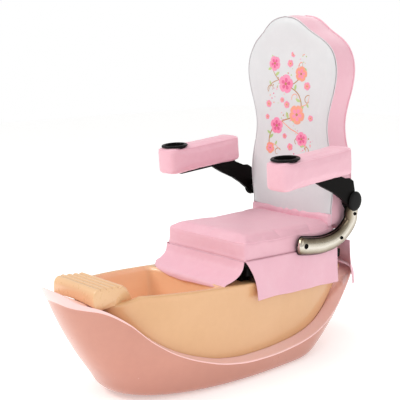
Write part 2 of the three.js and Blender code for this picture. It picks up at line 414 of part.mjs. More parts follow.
// ---------------------------------------------------------------- armrests
function armrest(side) {
  const S = side === 'left' ? 1 : -1;
  const m = (g) => (S > 0 ? g : mirrorX(g));
  const pad = subGroup(S * ARM_X, CUP_Y, PAD_TOP_Z, ARM_TILT);
  let g = roundedBox(PAD_HALF_W, -PAD_FRONT, PAD_REAR, -PAD_H, 0, 24);
  g = cut(g, cyl('z', CUP_R + 1.6, -CUP_DEPTH - 4, 20, 0, 0, 24));
  put(pad, `armrest_pad_${side}`, g, VINYL());
  put(pad, `cup_holder_${side}`, lathe([[0, -CUP_DEPTH], [CUP_R - 3, -CUP_DEPTH], [CUP_R, 0.4], [CUP_FLANGE_R, 0.4], [CUP_FLANGE_R, CUP_LIP - 2], [CUP_FLANGE_R - 3, CUP_LIP], [CUP_R - 1, CUP_LIP], [CUP_R - 3, CUP_LIP - 3], [CUP_R - 4, -CUP_DEPTH + 5], [0, -CUP_DEPTH + 3]], 24), mat(0x101010, 0.35));
  // bracket: a shoe under the pad and a two-layer casting that runs down to the pivot
  const under = (y) => PAD_TOP_Z - PAD_H / Math.cos(ARM_TILT * D2R) - 0.5 + Math.tan(ARM_TILT * D2R) * (y - CUP_Y);
  const shoe = extrudeX([[-90, under(-90) - 4], [180, under(180) - 4], [180, under(180)], [-90, under(-90)]], WEB_IN[0], WEB_OUT[1] + 29);
  const arc = (r, a0, a1, n) => Array.from({ length: n + 1 }, (_, i) => { const a = (a0 + (a1 - a0) * i / n) * D2R; return [HUB_Y + r * Math.cos(a), HUB_Z + r * Math.sin(a)]; });
  const topLine = (y) => under(y) - 2;
  const lower = [[60, topLine(60)], [90, 609], [115, 596], [174, 569.5], [215, 545], [232, 532], [245, 523]];
  const inner = extrudeX([...lower, ...arc(29, 200, 395, 10), [267, 577], [250, 583], [228, 593], [190, 622], [178, topLine(178)]], ...WEB_IN);
  const outer = extrudeX([...lower, ...arc(33, 200, 445, 12), [284, 578], [278, 600], [257, 612], [235, 613], [179, topLine(179)]], ...WEB_OUT);
  let bracket = solid(shoe).add(solid(inner)).add(solid(outer));
  bracket = bracket.subtract(solid(cyl('x', PIVOT_R + 0.35, 220, 290, HUB_Y, HUB_Z, 20)));
  put(chair, `arm_bracket_${side}`, m(back(bracket)), BLACK());
  put(chair, `pivot_bolt_${side}`, m(join(cyl('x', PIVOT_R, 205, 249, HUB_Y, HUB_Z, 20), cyl('x', 13, 201.5, 207.8, HUB_Y, HUB_Z, 20))), STEEL());
  const cap = lathe([[0, 250], [PIVOT_R + 3, 250], [PIVOT_R + 5, 248.6], [HUB_CAP_R - 2, 248.6], [HUB_CAP_R, 250.4], [HUB_CAP_R - 1.5, 253.5], [HUB_CAP_R - 6, 256], [0, 257]], 24);
  // the cap is dished inside so that it clears the pivot's end
  cap.rotateY(Math.PI / 2); cap.translate(0, HUB_Y, HUB_Z);
  put(chair, `hub_cap_${side}`, m(cap), BLACK());
  // support tube: half-round chromed channel, swept from the seat's side up to the pivot
  const path = new THREE.CatmullRomCurve3(TUBE_PATH.map((p) => new THREE.Vector3(...p)), false, 'centripetal');
  const sweep = (prof, n) => {
    const rings = [];
    for (let i = 0; i <= n; i++) {
      const t = i / n, c = path.getPoint(t), d = path.getTangent(t);
      const L = Math.hypot(d.y, d.z), ny = -d.z / L, nz = d.y / L;   // across the band, in the side plane
      rings.push(prof(t).map(([u, v]) => [c.x + v, c.y + ny * u, c.z + nz * u]));
    }
    return loft(rings);
  };
  const dee = () => { const r = []; for (let k = 0; k <= 8; k++) { const a = Math.PI * k / 8; r.push([TUBE_W / 2 * Math.cos(a), -TUBE_D / 2 + TUBE_D * Math.sin(a) ** 0.8]); } return r; };
  put(chair, `support_tube_${side}`, m(sweep(dee, 16)), CHROME());
  const bw = TUBE_W / 2 + 3, v1 = -TUBE_D / 2 - 0.4, v0 = v1 - 4;
  const strap = sweep(() => [[bw, v0], [bw, v1], [-bw, v1], [-bw, v0]], 16);
  const e = TUBE_PATH[0][0] + v1;     // outer face of the strap at the seat
  const tab = join(box(193.6, 198.8, 62, 190, 322, 385), box(193.6, e - 3, 62, 190, 358, 385));
  const end = TUBE_PATH[TUBE_PATH.length - 1][0];
  const neck = extrudeX([[284, 490], [350, 496], [345, 512], [318, 535], [300, 549], [285, 549.6], [265, 540], [263, 527], [266, 515], [275, 503]], end + v0 + 0.2, end + v1 - 0.2);
  const boss = cyl('x', BOSS_R, end + v0 + 0.2, WEB_IN[0] - 0.4, HUB_Y, HUB_Z, 20);
  let support = solid(strap).add(solid(tab)).add(solid(neck)).add(solid(boss)).subtract(solid(cyl('x', PIVOT_R + 0.4, 200, 240, HUB_Y, HUB_Z, 20)));
  put(chair, `support_strap_${side}`, m(back(support)), BLACK());
  // socket screws that clamp the tube to its strap: the head sits proud of the chrome
  for (const [n, t] of [['front', 0.52], ['rear', 0.86]]) {
    const c = path.getPoint(t), x1 = c.x + TUBE_D / 2 + 1.2;
    put(chair, `tube_screw_${n}_${side}`, m(cyl('x', 5, x1, x1 + 3.4, c.y, c.z, 12)), BLACK());
  }
}
armrest('left');
armrest('right');

export default chair;
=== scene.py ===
import math

import bmesh
import bpy
import numpy as np
from mathutils import Matrix, Vector, noise
from mathutils.bvhtree import BVHTree
from mathutils.geometry import delaunay_2d_cdt

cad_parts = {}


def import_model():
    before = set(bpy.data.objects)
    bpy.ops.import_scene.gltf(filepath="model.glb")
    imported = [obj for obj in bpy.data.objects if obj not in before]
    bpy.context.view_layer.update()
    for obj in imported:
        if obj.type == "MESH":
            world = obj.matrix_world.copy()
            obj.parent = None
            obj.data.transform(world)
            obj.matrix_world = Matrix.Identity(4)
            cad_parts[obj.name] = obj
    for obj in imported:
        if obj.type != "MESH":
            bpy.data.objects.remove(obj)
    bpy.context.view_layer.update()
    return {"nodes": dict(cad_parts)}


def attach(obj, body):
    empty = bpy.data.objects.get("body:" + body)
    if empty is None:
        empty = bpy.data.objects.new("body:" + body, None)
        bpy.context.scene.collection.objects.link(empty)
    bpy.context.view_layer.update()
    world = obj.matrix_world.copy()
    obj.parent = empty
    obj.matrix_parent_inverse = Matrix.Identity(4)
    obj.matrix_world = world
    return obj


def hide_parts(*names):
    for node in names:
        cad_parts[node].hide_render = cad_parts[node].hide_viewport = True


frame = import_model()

# ------------------------------------------------------------------ frame and numbers
# Everything is designed in millimetres with y = 0 at the seat's station; SHIFT_Y brings it to the CAD frame.
SHIFT_Y = 190.57
BASE = "chair_base"

HULL_Z = [3, 25, 70, 150, 260, 400]
HULL_BOW = [-566, -619, -650, -703, -763, -823]
HULL_STERN = [140, 188, 262, 357, 440, 470]
HULL_HALF = [222, 231, 234, 236, 234, 236]
BEAM_Y = -20.0
HULL_N_BOW, HULL_N_STERN = 2.3, 3.45
EDGE_Y = [-840, -822, -770, -711, -641, -565, -484, -395, -298, -193, -99, 1, 81, 150, 229, 292, 341, 375, 445]
EDGE_Z = [392, 388, 350, 325, 277, 205, 149, 109, 80, 66, 64, 69, 80, 97, 132, 172, 222, 246, 250]
TUB_Z = [16, 70, 150, 260, 350]
TUB_BOW = [-545, -596, -640, -675, -694]
TUB_STERN = [110, 205, 305, 384, 398]
TUB_HALF = [176, 187, 190, 193, 197]
TUB_N_BOW, TUB_N_STERN = 3.1, 3.6
BATH = [[62, 74, -505, -318], [72, 52, -545, -300], [110, 34, -590, -290], [200, 21, -640, -290], [285, 16, -665, -286], [380, 14, -682, -285]]

SEAT = (-200.0, 452.0, -2.2)
BACK = (234.0, 472.0, 1.4)
PADS = (-97.8, 711.0, 4.3)
ARM_X = 264.7
HUB_Y, HUB_Z = 285.4, 527.6
OUTLINE = [[0, 1167], [38, 1161], [64, 1150], [88, 1133], [110, 1115], [134, 1099], [158, 1082], [180, 1060], [196, 1034], [206, 1000], [207, 960],
           [197, 908], [182, 860], [171, 815], [168, 775], [173, 732], [184, 688], [193, 640], [196, 590], [192, 540], [187, 500], [186, 438]]
TUBE_PATH = [[213.5, 38, 402], [213.5, 80, 394], [213.5, 122.6, 387.8], [213.5, 169.4, 384.7], [214.5, 217.6, 389.2], [216, 263.9, 405.1],
             [218, 293.7, 427.3], [220.5, 310.7, 452.4], [222, 313.5, 484.4], [222.5, 316, 499]]


def world(a):
    a = np.array(a, float)
    a[..., 1] += SHIFT_Y
    return a * 0.001


def tilt(a, place):
    """Local points of a part that leans about X, to design millimetres."""
    y0, z0, deg = place
    a = np.array(a, float)
    c, s = math.cos(math.radians(deg)), math.sin(math.radians(deg))
    y, z = a[..., 1] * c - a[..., 2] * s + y0, a[..., 1] * s + a[..., 2] * c + z0
    a[..., 1], a[..., 2] = y, z
    return a


class Table:
    """Monotone cubic through a table, for arrays."""

    def __init__(self, xs, ys):
        x, y = np.array(xs, float), np.array(ys, float)
        d = np.diff(y) / np.diff(x)
        m = np.zeros(len(x))
        m[0], m[-1] = d[0], d[-1]
        for k in range(1, len(x) - 1):
            m[k] = 0 if d[k - 1] * d[k] <= 0 else 2 * d[k - 1] * d[k] / (d[k - 1] + d[k])
        self.x, self.y, self.m = x, y, m

    def __call__(self, q):
        q = np.clip(np.asarray(q, float), self.x[0], self.x[-1])
        i = np.clip(np.searchsorted(self.x, q, side="right") - 1, 0, len(self.x) - 2)
        h = self.x[i + 1] - self.x[i]
        t = (q - self.x[i]) / h
        return (self.y[i] * (2 * t ** 3 - 3 * t * t + 1) + self.m[i] * h * (t ** 3 - 2 * t * t + t)
                + self.y[i + 1] * (-2 * t ** 3 + 3 * t * t) + self.m[i + 1] * h * (t ** 3 - t * t))


hull_bow, hull_stern, hull_half = Table(HULL_Z, HULL_BOW), Table(HULL_Z, HULL_STERN), Table(HULL_Z, HULL_HALF)
tub_bow, tub_stern, tub_half = Table(TUB_Z, TUB_BOW), Table(TUB_Z, TUB_STERN), Table(TUB_Z, TUB_HALF)
edge_z = Table(EDGE_Y, EDGE_Z)
bath_tab = [Table([r[0] for r in BATH], [r[k] for r in BATH]) for k in (1, 2, 3)]


def section(tabs, nb, ns, z, a, grow=0.0):
    z = np.asarray(z, float) + 0 * a
    yf, yr, b = tabs[0](z) - grow, tabs[1](z) + grow, tabs[2](z) + grow
    c, s = np.cos(a), np.sin(a)
    n = np.where(c < 0, nb, ns)
    y = BEAM_Y + np.where(c < 0, BEAM_Y - yf, yr - BEAM_Y) * np.sign(c) * np.abs(c) ** (2 / n)
    return np.stack([b * np.sign(s) * np.abs(s) ** (2 / n), y, z], -1)


def hull_at(z, a, grow=0.0):
    return section((hull_bow, hull_stern, hull_half), HULL_N_BOW, HULL_N_STERN, z, a, grow)


def tub_at(z, a, grow=0.0):
    return section((tub_bow, tub_stern, tub_half), TUB_N_BOW, TUB_N_STERN, z, a, grow)


def rim_z(y):
    y = np.asarray(y, float)
    line = 322 - 0.077 * (y + 300)
    front = Table([-700, -660, -620, -590], [322, 324, 334, 344])(y)
    return np.where(y > -590, line, np.minimum(line, front))


def ledge_z(y):
    return edge_z(y) + 8 * np.clip((np.asarray(y, float) + 720) / 150, 0.2, 1)


def solve_up(at, level, a, grow, lo=10.0, hi=400.0):
    """Height at which the wall `at` meets the surface z = level(y), for each angle."""
    lo, hi = np.full(len(a), lo), np.full(len(a), hi)
    for _ in range(46):
        z = (lo + hi) / 2
        up = z < level(at(z, a, grow)[:, 1])
        lo, hi = np.where(up, z, lo), np.where(up, hi, z)
    return lo


def even_angles(at, n, z=200.0):
    t = np.linspace(0, 2 * np.pi, 2881)
    p = at(z, t)
    length = np.concatenate([[0], np.cumsum(np.hypot(np.diff(p[:, 0]), np.diff(p[:, 1])))])
    return np.interp(np.arange(n) / n * length[-1], length, t)


def srgb(r, g, b):
    f = lambda c: c / 12.92 if c <= 0.04045 else ((c + 0.055) / 1.055) ** 2.4
    return (f(r / 255), f(g / 255), f(b / 255), 1.0)


# ------------------------------------------------------------------ mesh helpers
def grid_faces(nu, nv, cu=False, cv=False, base=0, flip=False):
    iu, iv = np.arange(nu if cu else nu - 1), np.arange(nv if cv else nv - 1)
    U, V = np.meshgrid(iu, iv, indexing="ij")
    U2, V2 = (U + 1) % nu, (V + 1) % nv
    f = np.stack([U * nv + V, U2 * nv + V, U2 * nv + V2, U * nv + V2], -1).reshape(-1, 4) + base
    return (f[:, ::-1] if flip else f).tolist()


class Builder:
    """Collects vertices (design mm) and faces with material indices."""

    def __init__(self):
        self.v, self.f, self.m, self.n = [], [], [], 0

    def add(self, verts, faces, mat=0):
        verts = np.array(verts, float).reshape(-1, 3)
        self.v.append(verts)
        for f in faces:
            self.f.append([i + self.n for i in f])
            self.m.append(mat)
        self.n += len(verts)

    def grid(self, V, cu=False, cv=False, mat=0, flip=False):
        V = np.asarray(V, float)
        self.add(V.reshape(-1, 3), grid_faces(V.shape[0], V.shape[1], cu, cv, 0, flip), mat)

    def rings(self, rings, start=None, end=None, mat=0, mats=None):
        """Closed rings; start and end are pole points that close the body."""
        V = np.stack(rings)
        nr, n = V.shape[:2]
        base = self.n
        self.v.append(V.reshape(-1, 3))
        self.n += nr * n
        for r in range(nr - 1):
            mi = mat if mats is None else mats[r]
            for i in range(n):
                j = (i + 1) % n
                self.f.append([base + r * n + i, base + r * n + j, base + (r + 1) * n + j, base + (r + 1) * n + i])
                self.m.append(mi)
        for pole, r in ((start, 0), (end, nr - 1)):
            if pole is None:
                continue
            self.v.append(np.array([pole], float))
            k = self.n
            self.n += 1
            for i in range(n):
                j = (i + 1) % n
                tri = [k, base + r * n + j, base + r * n + i]
                self.f.append(tri if r == 0 else tri[::-1])
                self.m.append(mat if mats is None else (mats[0] if r == 0 else mats[-1]))

    def obj(self, name, mats, body=BASE, slot=None, replaces=(), weld=True, recalc=True, sharp=None, local=None):
        co = np.concatenate(self.v)
        if local is not None:
            co = tilt(co, local)
        me = bpy.data.meshes.new(name)
        me.from_pydata(world(co).tolist(), [], self.f)
        me.polygons.foreach_set("material_index", self.m)
        me.polygons.foreach_set("use_smooth", [True] * len(self.f))
        o = bpy.data.objects.new(name, me)
        bpy.context.scene.collection.objects.link(o)
        for m in mats if isinstance(mats, (list, tuple)) else [mats]:
            me.materials.append(m)
        bm = bmesh.new()
        bm.from_mesh(me)
        if weld:
            bmesh.ops.remove_doubles(bm, verts=bm.verts, dist=2e-6)
            bmesh.ops.dissolve_degenerate(bm, edges=bm.edges, dist=1e-6)
        if recalc:
            bmesh.ops.recalc_face_normals(bm, faces=bm.faces)
        if sharp is not None:
            lim = math.radians(sharp)
            for e in bm.edges:
                if len(e.link_faces) == 2 and e.calc_face_angle(0) > lim:
                    e.smooth = False
        bm.to_mesh(me)
        bm.free()
        me.update()
        if body:
            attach(o, body)
        if replaces:
            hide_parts(*replaces)
        return o


def lathe_rings(profile, seg, frame_fn):
    """Rings of a turned profile [radius, height]; frame_fn maps local xyz (axis +Z) to design mm."""
    a = np.arange(seg) * 2 * np.pi / seg
    out = []
    for r, h in profile:
        out.append(frame_fn(np.stack([r * np.cos(a), r * np.sin(a), np.full(seg, float(h))], -1)))
    return out


def smooth_profile(pts, r=1.0, steps=4):
    """Rounds each inner corner of an open polyline with a small curve."""
    p = [np.array(q, float) for q in pts]
    out = [p[0]]
    for i in range(1, len(p) - 1):
        a, b = p[i - 1] - p[i], p[i + 1] - p[i]
        la, lb = np.linalg.norm(a), np.linalg.norm(b)
        rr = min(r, la * 0.45, lb * 0.45)
        s, e = p[i] + a / la * rr, p[i] + b / lb * rr
        for k in range(steps + 1):
            t = k / steps
            out.append((1 - t) ** 2 * s + 2 * t * (1 - t) * p[i] + t * t * e)
    out.append(p[-1])
    return out


def catmull(points, n):
    """n+1 points along a centripetal Catmull-Rom curve."""
    P = [np.array(p, float) for p in points]
    P = [2 * P[0] - P[1]] + P + [2 * P[-1] - P[-2]]
    segs = len(P) - 3
    out = []
    for i in range(n + 1):
        u = i / n * segs
        k = min(int(u), segs - 1)
        p0, p1, p2, p3 = P[k], P[k + 1], P[k + 2], P[k + 3]
        t0 = 0.0
        t1 = t0 + np.linalg.norm(p1 - p0) ** 0.5
        t2 = t1 + np.linalg.norm(p2 - p1) ** 0.5
        t3 = t2 + np.linalg.norm(p3 - p2) ** 0.5
        t = t1 + (t2 - t1) * (u - k)
        a1 = (t1 - t) / (t1 - t0) * p0 + (t - t0) / (t1 - t0) * p1
        a2 = (t2 - t) / (t2 - t1) * p1 + (t - t1) / (t2 - t1) * p2
        a3 = (t3 - t) / (t3 - t2) * p2 + (t - t2) / (t3 - t2) * p3
        b1 = (t2 - t) / (t2 - t0) * a1 + (t - t0) / (t2 - t0) * a2
        b2 = (t3 - t) / (t3 - t1) * a2 + (t - t1) / (t3 - t1) * a3
        out.append((t2 - t) / (t2 - t1) * b1 + (t - t1) / (t2 - t1) * b2)
    return np.array(out)


def tube_rings(path, radius, seg=10, closed=False, squash=None):
    """Rings round a path (design mm)."""
    path = np.asarray(path, float)
    n = len(path)
    if closed:
        d = np.roll(path, -1, 0) - np.roll(path, 1, 0)
    else:
        d = np.gradient(path, axis=0)
    d /= np.linalg.norm(d, axis=1)[:, None] + 1e-12
    ref = np.array([0.0, 0.0, 1.0])
    u0 = np.cross(ref, d[0])
    if np.linalg.norm(u0) < 0.2:
        u0 = np.cross([1.0, 0, 0], d[0])
    u = u0 / np.linalg.norm(u0)
    rings = []
    a = np.arange(seg) * 2 * np.pi / seg
    for i in range(n):
        u = u - d[i] * (u @ d[i])
        u /= np.linalg.norm(u)
        v = np.cross(d[i], u)
        r = radius[i] if np.ndim(radius) else radius
        rings.append(path[i] + r * (np.cos(a)[:, None] * u + np.sin(a)[:, None] * v))
    return rings


def add_tube(b, path, radius, seg=10, closed=False, mat=0):
    rings = tube_rings(path, radius, seg, closed)
    if closed:
        # match the last ring to the first, then close
        V = np.stack(rings)
        first, last = V[0], V[-1]
        k = int(np.argmin([np.abs(np.roll(last, -s, 0) - first).sum() for s in range(seg)]))
        V = np.stack([np.roll(V[i], -int(round(k * i / (len(V) - 1))), 0) for i in range(len(V))])
        b.grid(V, cu=True, cv=True, mat=mat)
    else:
        b.rings(rings, path[0], path[-1], mat=mat)


def box_rings(b, x0, x1, y0, y1, z0, z1, r=1.5, mat=0, axis=2):
    """A bar with rounded long edges and slightly rounded ends, along the given axis."""
    lo, hi = np.array([x0, y0, z0], float), np.array([x1, y1, z1], float)
    others = [k for k in range(3) if k != axis]
    c, h = (lo + hi) / 2, (hi - lo) / 2
    out = []

    def ring(ins, t):
        p = []
        for sx, sy, a0 in ((1, 1, 0), (-1, 1, 90), (-1, -1, 180), (1, -1, 270)):
            for k in range(5):
                a = math.radians(a0 + 90 * k / 4)
                q = np.zeros(3)
                q[others[0]] = c[others[0]] + sx * (h[others[0]] - r) + (r - ins) * math.cos(a)
                q[others[1]] = c[others[1]] + sy * (h[others[1]] - r) + (r - ins) * math.sin(a)
                q[axis] = t
                p.append(q)
        return np.array(p)
    for ins, t in ((r * 0.9, lo[axis]), (r * 0.3, lo[axis] + r * 0.3), (0, lo[axis] + r)):
        out.append(ring(ins, t))
    for ins, t in ((0, hi[axis] - r), (r * 0.3, hi[axis] - r * 0.3), (r * 0.9, hi[axis])):
        out.append(ring(ins, t))
    s, e = c.copy(), c.copy()
    s[axis], e[axis] = lo[axis], hi[axis]
    b.rings(out, s, e, mat=mat)


def co_of(o):
    co = np.empty(len(o.data.vertices) * 3, np.float32)
    o.data.vertices.foreach_get("co", co)
    return co.reshape(-1, 3).astype(float)


def set_co(o, co):
    o.data.vertices.foreach_set("co", np.asarray(co, np.float32).ravel())
    o.data.update()


def normals_of(o):
    n = np.empty(len(o.data.vertices) * 3, np.float32)
    o.data.vertices.foreach_get("normal", n)
    return n.reshape(-1, 3).astype(float)


def apply_mods(o):
    dg = bpy.context.evaluated_depsgraph_get()
    dg.update()
    me = bpy.data.meshes.new_from_object(o.evaluated_get(dg), depsgraph=dg)
    old = o.data
    o.modifiers.clear()
    o.data = me
    me.name = o.name
    bpy.data.meshes.remove(old)


def fnoise(P, scale, seed=0.0, octaves=3):
    """Smooth noise in -1..1 at points P (metres)."""
    return np.array([noise.fractal(Vector((p[0] * scale + seed, p[1] * scale + 3.1 * seed, p[2] * scale - seed)), 0.6, 2.0, octaves) for p in P])


def merge_into(target, others):
    """Joins meshes of others (same frame) into target."""
    with bpy.context.temp_override(active_object=target, selected_editable_objects=[target, *others], selected_objects=[target, *others], object=target):
        bpy.ops.object.join()


# ------------------------------------------------------------------ camera, light and stage
def make_stage():
    scene = bpy.context.scene
    cam_data = bpy.data.cameras.new("camera")
    cam = bpy.data.objects.new("camera", cam_data)
    scene.collection.objects.link(cam)
    phi, th, roll = math.radians(47.48), math.radians(10.42), math.radians(-0.45)
    fwd = Vector((-math.sin(phi) * math.cos(th), math.cos(phi) * math.cos(th), -math.sin(th)))
    right = Vector((math.cos(phi), math.sin(phi), 0))
    up = right.cross(fwd)
    R = right * math.cos(roll) + up * math.sin(roll)
    U = -right * math.sin(roll) + up * math.cos(roll)
    m = Matrix(((R.x, U.x, -fwd.x, 1.97427), (R.y, U.y, -fwd.y, -1.83872), (R.z, U.z, -fwd.z, 1.05737), (0, 0, 0, 1)))
    cam.matrix_world = m
    cam_data.sensor_width = 36.0
    cam_data.lens = 825.44 / 400 * 36
    cam_data.clip_start, cam_data.clip_end = 0.05, 60
    scene.camera = cam
    scene.view_settings.view_transform = "Standard"
    scene.view_settings.look = "None"
    scene.view_settings.exposure = 0.0
    scene.view_settings.gamma = 1.0

    w = bpy.data.worlds.new("studio")
    scene.world = w
    w.use_nodes = True
    nt = w.node_tree
    nt.nodes.clear()
    out = nt.nodes.new("ShaderNodeOutputWorld")
    bg = nt.nodes.new("ShaderNodeBackground")
    bg.inputs["Color"].default_value = (1.0, 0.995, 0.985, 1)
    bg.inputs["Strength"].default_value = 0.70
    # the backdrop itself is plain white paper
    paper = nt.nodes.new("ShaderNodeBackground")
    paper.inputs["Color"].default_value = (1.0, 1.0, 1.0, 1)
    paper.inputs["Strength"].default_value = 1.0
    path = nt.nodes.new("ShaderNodeLightPath")
    both = nt.nodes.new("ShaderNodeMixShader")
    nt.links.new(path.outputs["Is Camera Ray"], both.inputs[0])
    nt.links.new(bg.outputs[0], both.inputs[1])
    nt.links.new(paper.outputs[0], both.inputs[2])
    nt.links.new(both.outputs[0], out.inputs[0])

    def area(name, loc, target, size, size_y, energy, color=(1, 1, 1)):
        d = bpy.data.lights.new(name, "AREA")
        d.shape, d.size, d.size_y, d.energy, d.color = "RECTANGLE", size, size_y, energy, color
        o = bpy.data.objects.new(name, d)
        o.location = loc
        o.rotation_mode = "QUATERNION"
        o.rotation_quaternion = (Vector(target) - Vector(loc)).to_track_quat("-Z", "Y")
        scene.collection.objects.link(o)
        return o
    area("key_light", (-1.6, -2.6, 2.9), (0, 0, 0.5), 1.6, 1.6, 50, (1, 0.985, 0.96))
    area("fill_light", (3.0, -0.4, 2.0), (0, 0, 0.55), 1.4, 2.2, 13, (1, 0.99, 0.98))
    area("top_light", (0.2, 0.2, 3.4), (0, 0, 0.4), 2.4, 2.4, 15)
    area("back_light", (-0.8, 2.8, 2.2), (0, 0, 0.6), 1.6, 1.2, 10)

    b = Builder()
    s = 9000
    b.add([[-s, -s, -0.4], [s, -s, -0.4], [s, s, -0.4], [-s, s, -0.4]], [[0, 1, 2, 3]])
    floor = b.obj("studio_floor", floor_material(), body=None)


# ------------------------------------------------------------------ materials
class Mat:
    """A small helper round one node material."""

    def __init__(self, name):
        self.m = bpy.data.materials.new(name)
        self.m.use_nodes = True
        self.t = self.m.node_tree
        self.t.nodes.clear()
        self.out = self.t.nodes.new("ShaderNodeOutputMaterial")
        self.p = self.t.nodes.new("ShaderNodeBsdfPrincipled")
        self.t.links.new(self.p.outputs[0], self.out.inputs[0])
        self.tc = self.t.nodes.new("ShaderNodeTexCoord")
        self.xyz = self.tc.outputs["Object"]

    def node(self, kind, **kw):
        n = self.t.nodes.new(kind)
        for k, v in kw.items():
            setattr(n, k, v)
        return n

    def link(self, a, b):
        self.t.links.new(a, b)

    def noise(self, scale, detail=3.0, rough=0.5, vec=None, dist=0.0):
        n = self.node("ShaderNodeTexNoise")
        n.inputs["Scale"].default_value = scale
        n.inputs["Detail"].default_value = detail
        n.inputs["Roughness"].default_value = rough
        n.inputs["Distortion"].default_value = dist
        self.link(vec or self.xyz, n.inputs["Vector"])
        return n.outputs["Fac"]

    def voronoi(self, scale, feature="F1", vec=None, rand=1.0):
        n = self.node("ShaderNodeTexVoronoi", feature=feature)
        n.inputs["Scale"].default_value = scale
        n.inputs["Randomness"].default_value = rand
        self.link(vec or self.xyz, n.inputs["Vector"])
        return n.outputs["Distance"]

    def ramp(self, fac, stops, interp="LINEAR"):
        n = self.node("ShaderNodeValToRGB")
        n.color_ramp.interpolation = interp
        e = n.color_ramp.elements
        while len(e) < len(stops):
            e.new(0.5)
        for k, (pos, col) in enumerate(stops):
            e[k].position = pos
            e[k].color = col if hasattr(col, "__len__") else (col, col, col, 1)
        self.link(fac, n.inputs[0])
        return n.outputs[0]

    def mix(self, fac, a, b, kind="MIX"):
        n = self.node("ShaderNodeMix", data_type="RGBA", blend_type=kind)
        for sock, v in ((n.inputs[0], fac), (n.inputs[6], a), (n.inputs[7], b)):
            if isinstance(v, bpy.types.NodeSocket):
                self.link(v, sock)
            elif hasattr(v, "__len__"):
                sock.default_value = v
            else:
                sock.default_value = v if sock.type == "VALUE" else (v, v, v, 1)
        return n.outputs[2]

    def math(self, op, a, b=None, clamp=False):
        n = self.node("ShaderNodeMath", operation=op)
        n.use_clamp = clamp
        for k, v in enumerate((a, b)):
            if v is None:
                continue
            if isinstance(v, bpy.types.NodeSocket):
                self.link(v, n.inputs[k])
            else:
                n.inputs[k].default_value = v
        return n.outputs[0]

    def maprange(self, v, a, b, c, d):
        n = self.node("ShaderNodeMapRange")
        n.clamp = True
        self.link(v, n.inputs[0])
        for k, x in enumerate((a, b, c, d)):
            n.inputs[k + 1].default_value = x
        return n.outputs[0]

    def bump(self, height, strength, distance, prev=None):
        n = self.node("ShaderNodeBump")
        n.inputs["Strength"].default_value = strength
        n.inputs["Distance"].default_value = distance
        self.link(height, n.inputs["Height"])
        if prev is not None:
            self.link(prev, n.inputs["Normal"])
        return n.outputs[0]

    def set(self, **kw):
        names = {"color": "Base Color", "rough": "Roughness", "metal": "Metallic", "spec": "Specular IOR Level", "coat": "Coat Weight",
                 "coat_rough": "Coat Roughness", "sheen": "Sheen Weight", "sheen_rough": "Sheen Roughness", "normal": "Normal", "ior": "IOR",
                 "sss": "Subsurface Weight", "sss_scale": "Subsurface Scale", "coat_normal": "Coat Normal"}
        for k, v in kw.items():
            sock = self.p.inputs[names[k]]
            if isinstance(v, bpy.types.NodeSocket):
                self.link(v, sock)
            else:
                sock.default_value = v
        return self


def floor_material():
    m = Mat("floor_paper")
    n = m.noise(1.2, 2)
    m.set(color=m.mix(n, srgb(253, 253, 253), srgb(255, 255, 255)), rough=0.8, spec=0.1)
    m.set(normal=m.bump(m.noise(900, 2), 0.05, 0.0003))
    m.p.inputs["Emission Color"].default_value = (1, 1, 1, 1)
    m.p.inputs["Emission Strength"].default_value = 0.30
    return m.m


def gelcoat(name, col, col2, coat=0.7, rough=0.32, specks=0.0, low=None):
    """Moulded glass-fibre with a glossy gelcoat: a slow change of tone, faint orange peel, fine scuffs, and painted
    shade towards the floor when low is given.
    """
    m = Mat(name)
    big = m.noise(3.2, 3, 0.55)
    fine = m.noise(42, 4, 0.6)
    base = m.mix(m.maprange(big, 0.35, 0.68, 0, 1), col, col2)
    base = m.mix(m.maprange(fine, 0.3, 0.75, 0.0, 0.10), base, srgb(255, 240, 225), "SOFT_LIGHT")
    if low is not None:
        # painted shade: the colour darkens towards the floor
        sep = m.node("ShaderNodeSeparateXYZ")
        m.link(m.xyz, sep.inputs[0])
        base = m.mix(m.maprange(sep.outputs[2], 0.0, 0.12, 0.55, 0.0), base, low)
    if specks:
        # small pale chips and dried drops
        v = m.voronoi(38)
        keep = m.noise(9.0, 2, 0.5)
        dot = m.math("MULTIPLY", m.maprange(v, 0.05, 0.085, 1, 0), m.maprange(keep, 0.60, 0.66, 0, 1))
        base = m.mix(m.math("MULTIPLY", dot, specks), base, srgb(255, 236, 226))
    scuff = m.noise(120, 5, 0.7, dist=0.6)
    r = m.maprange(m.math("ADD", m.math("MULTIPLY", scuff, 0.5), m.math("MULTIPLY", big, 0.5)), 0.3, 0.7, rough - 0.06, rough + 0.10)
    peel = m.bump(m.noise(160, 2, 0.5), 0.10, 0.0006)
    peel = m.bump(m.noise(14, 2, 0.5), 0.10, 0.004, peel)
    m.set(color=base, rough=r, spec=0.5, coat=coat, coat_rough=0.10, normal=peel)
    return m.m


def ribbed_gelcoat(name):
    """Cream gelcoat with painted shade in its grooves, darker where the valley attribute is high."""
    m = Mat(name)
    big = m.noise(3.2, 3, 0.55)
    fine = m.noise(60, 4, 0.6)
    base = m.mix(m.maprange(big, 0.35, 0.68, 0, 1), srgb(238, 195, 148), srgb(231, 186, 138))
    # painted shade: the grooves between the ribs are darkened
    at = m.node("ShaderNodeAttribute", attribute_name="valley")
    painted_valley_shade = m.math("MULTIPLY", at.outputs["Fac"], m.maprange(fine, 0.3, 0.7, 0.40, 0.60))
    base = m.mix(painted_valley_shade, base, srgb(190, 142, 96))
    peel = m.bump(m.noise(160, 2, 0.5), 0.10, 0.0006)
    m.set(color=base, rough=m.maprange(fine, 0.3, 0.7, 0.24, 0.36), spec=0.5, coat=0.6, coat_rough=0.10, normal=peel)
    return m.m


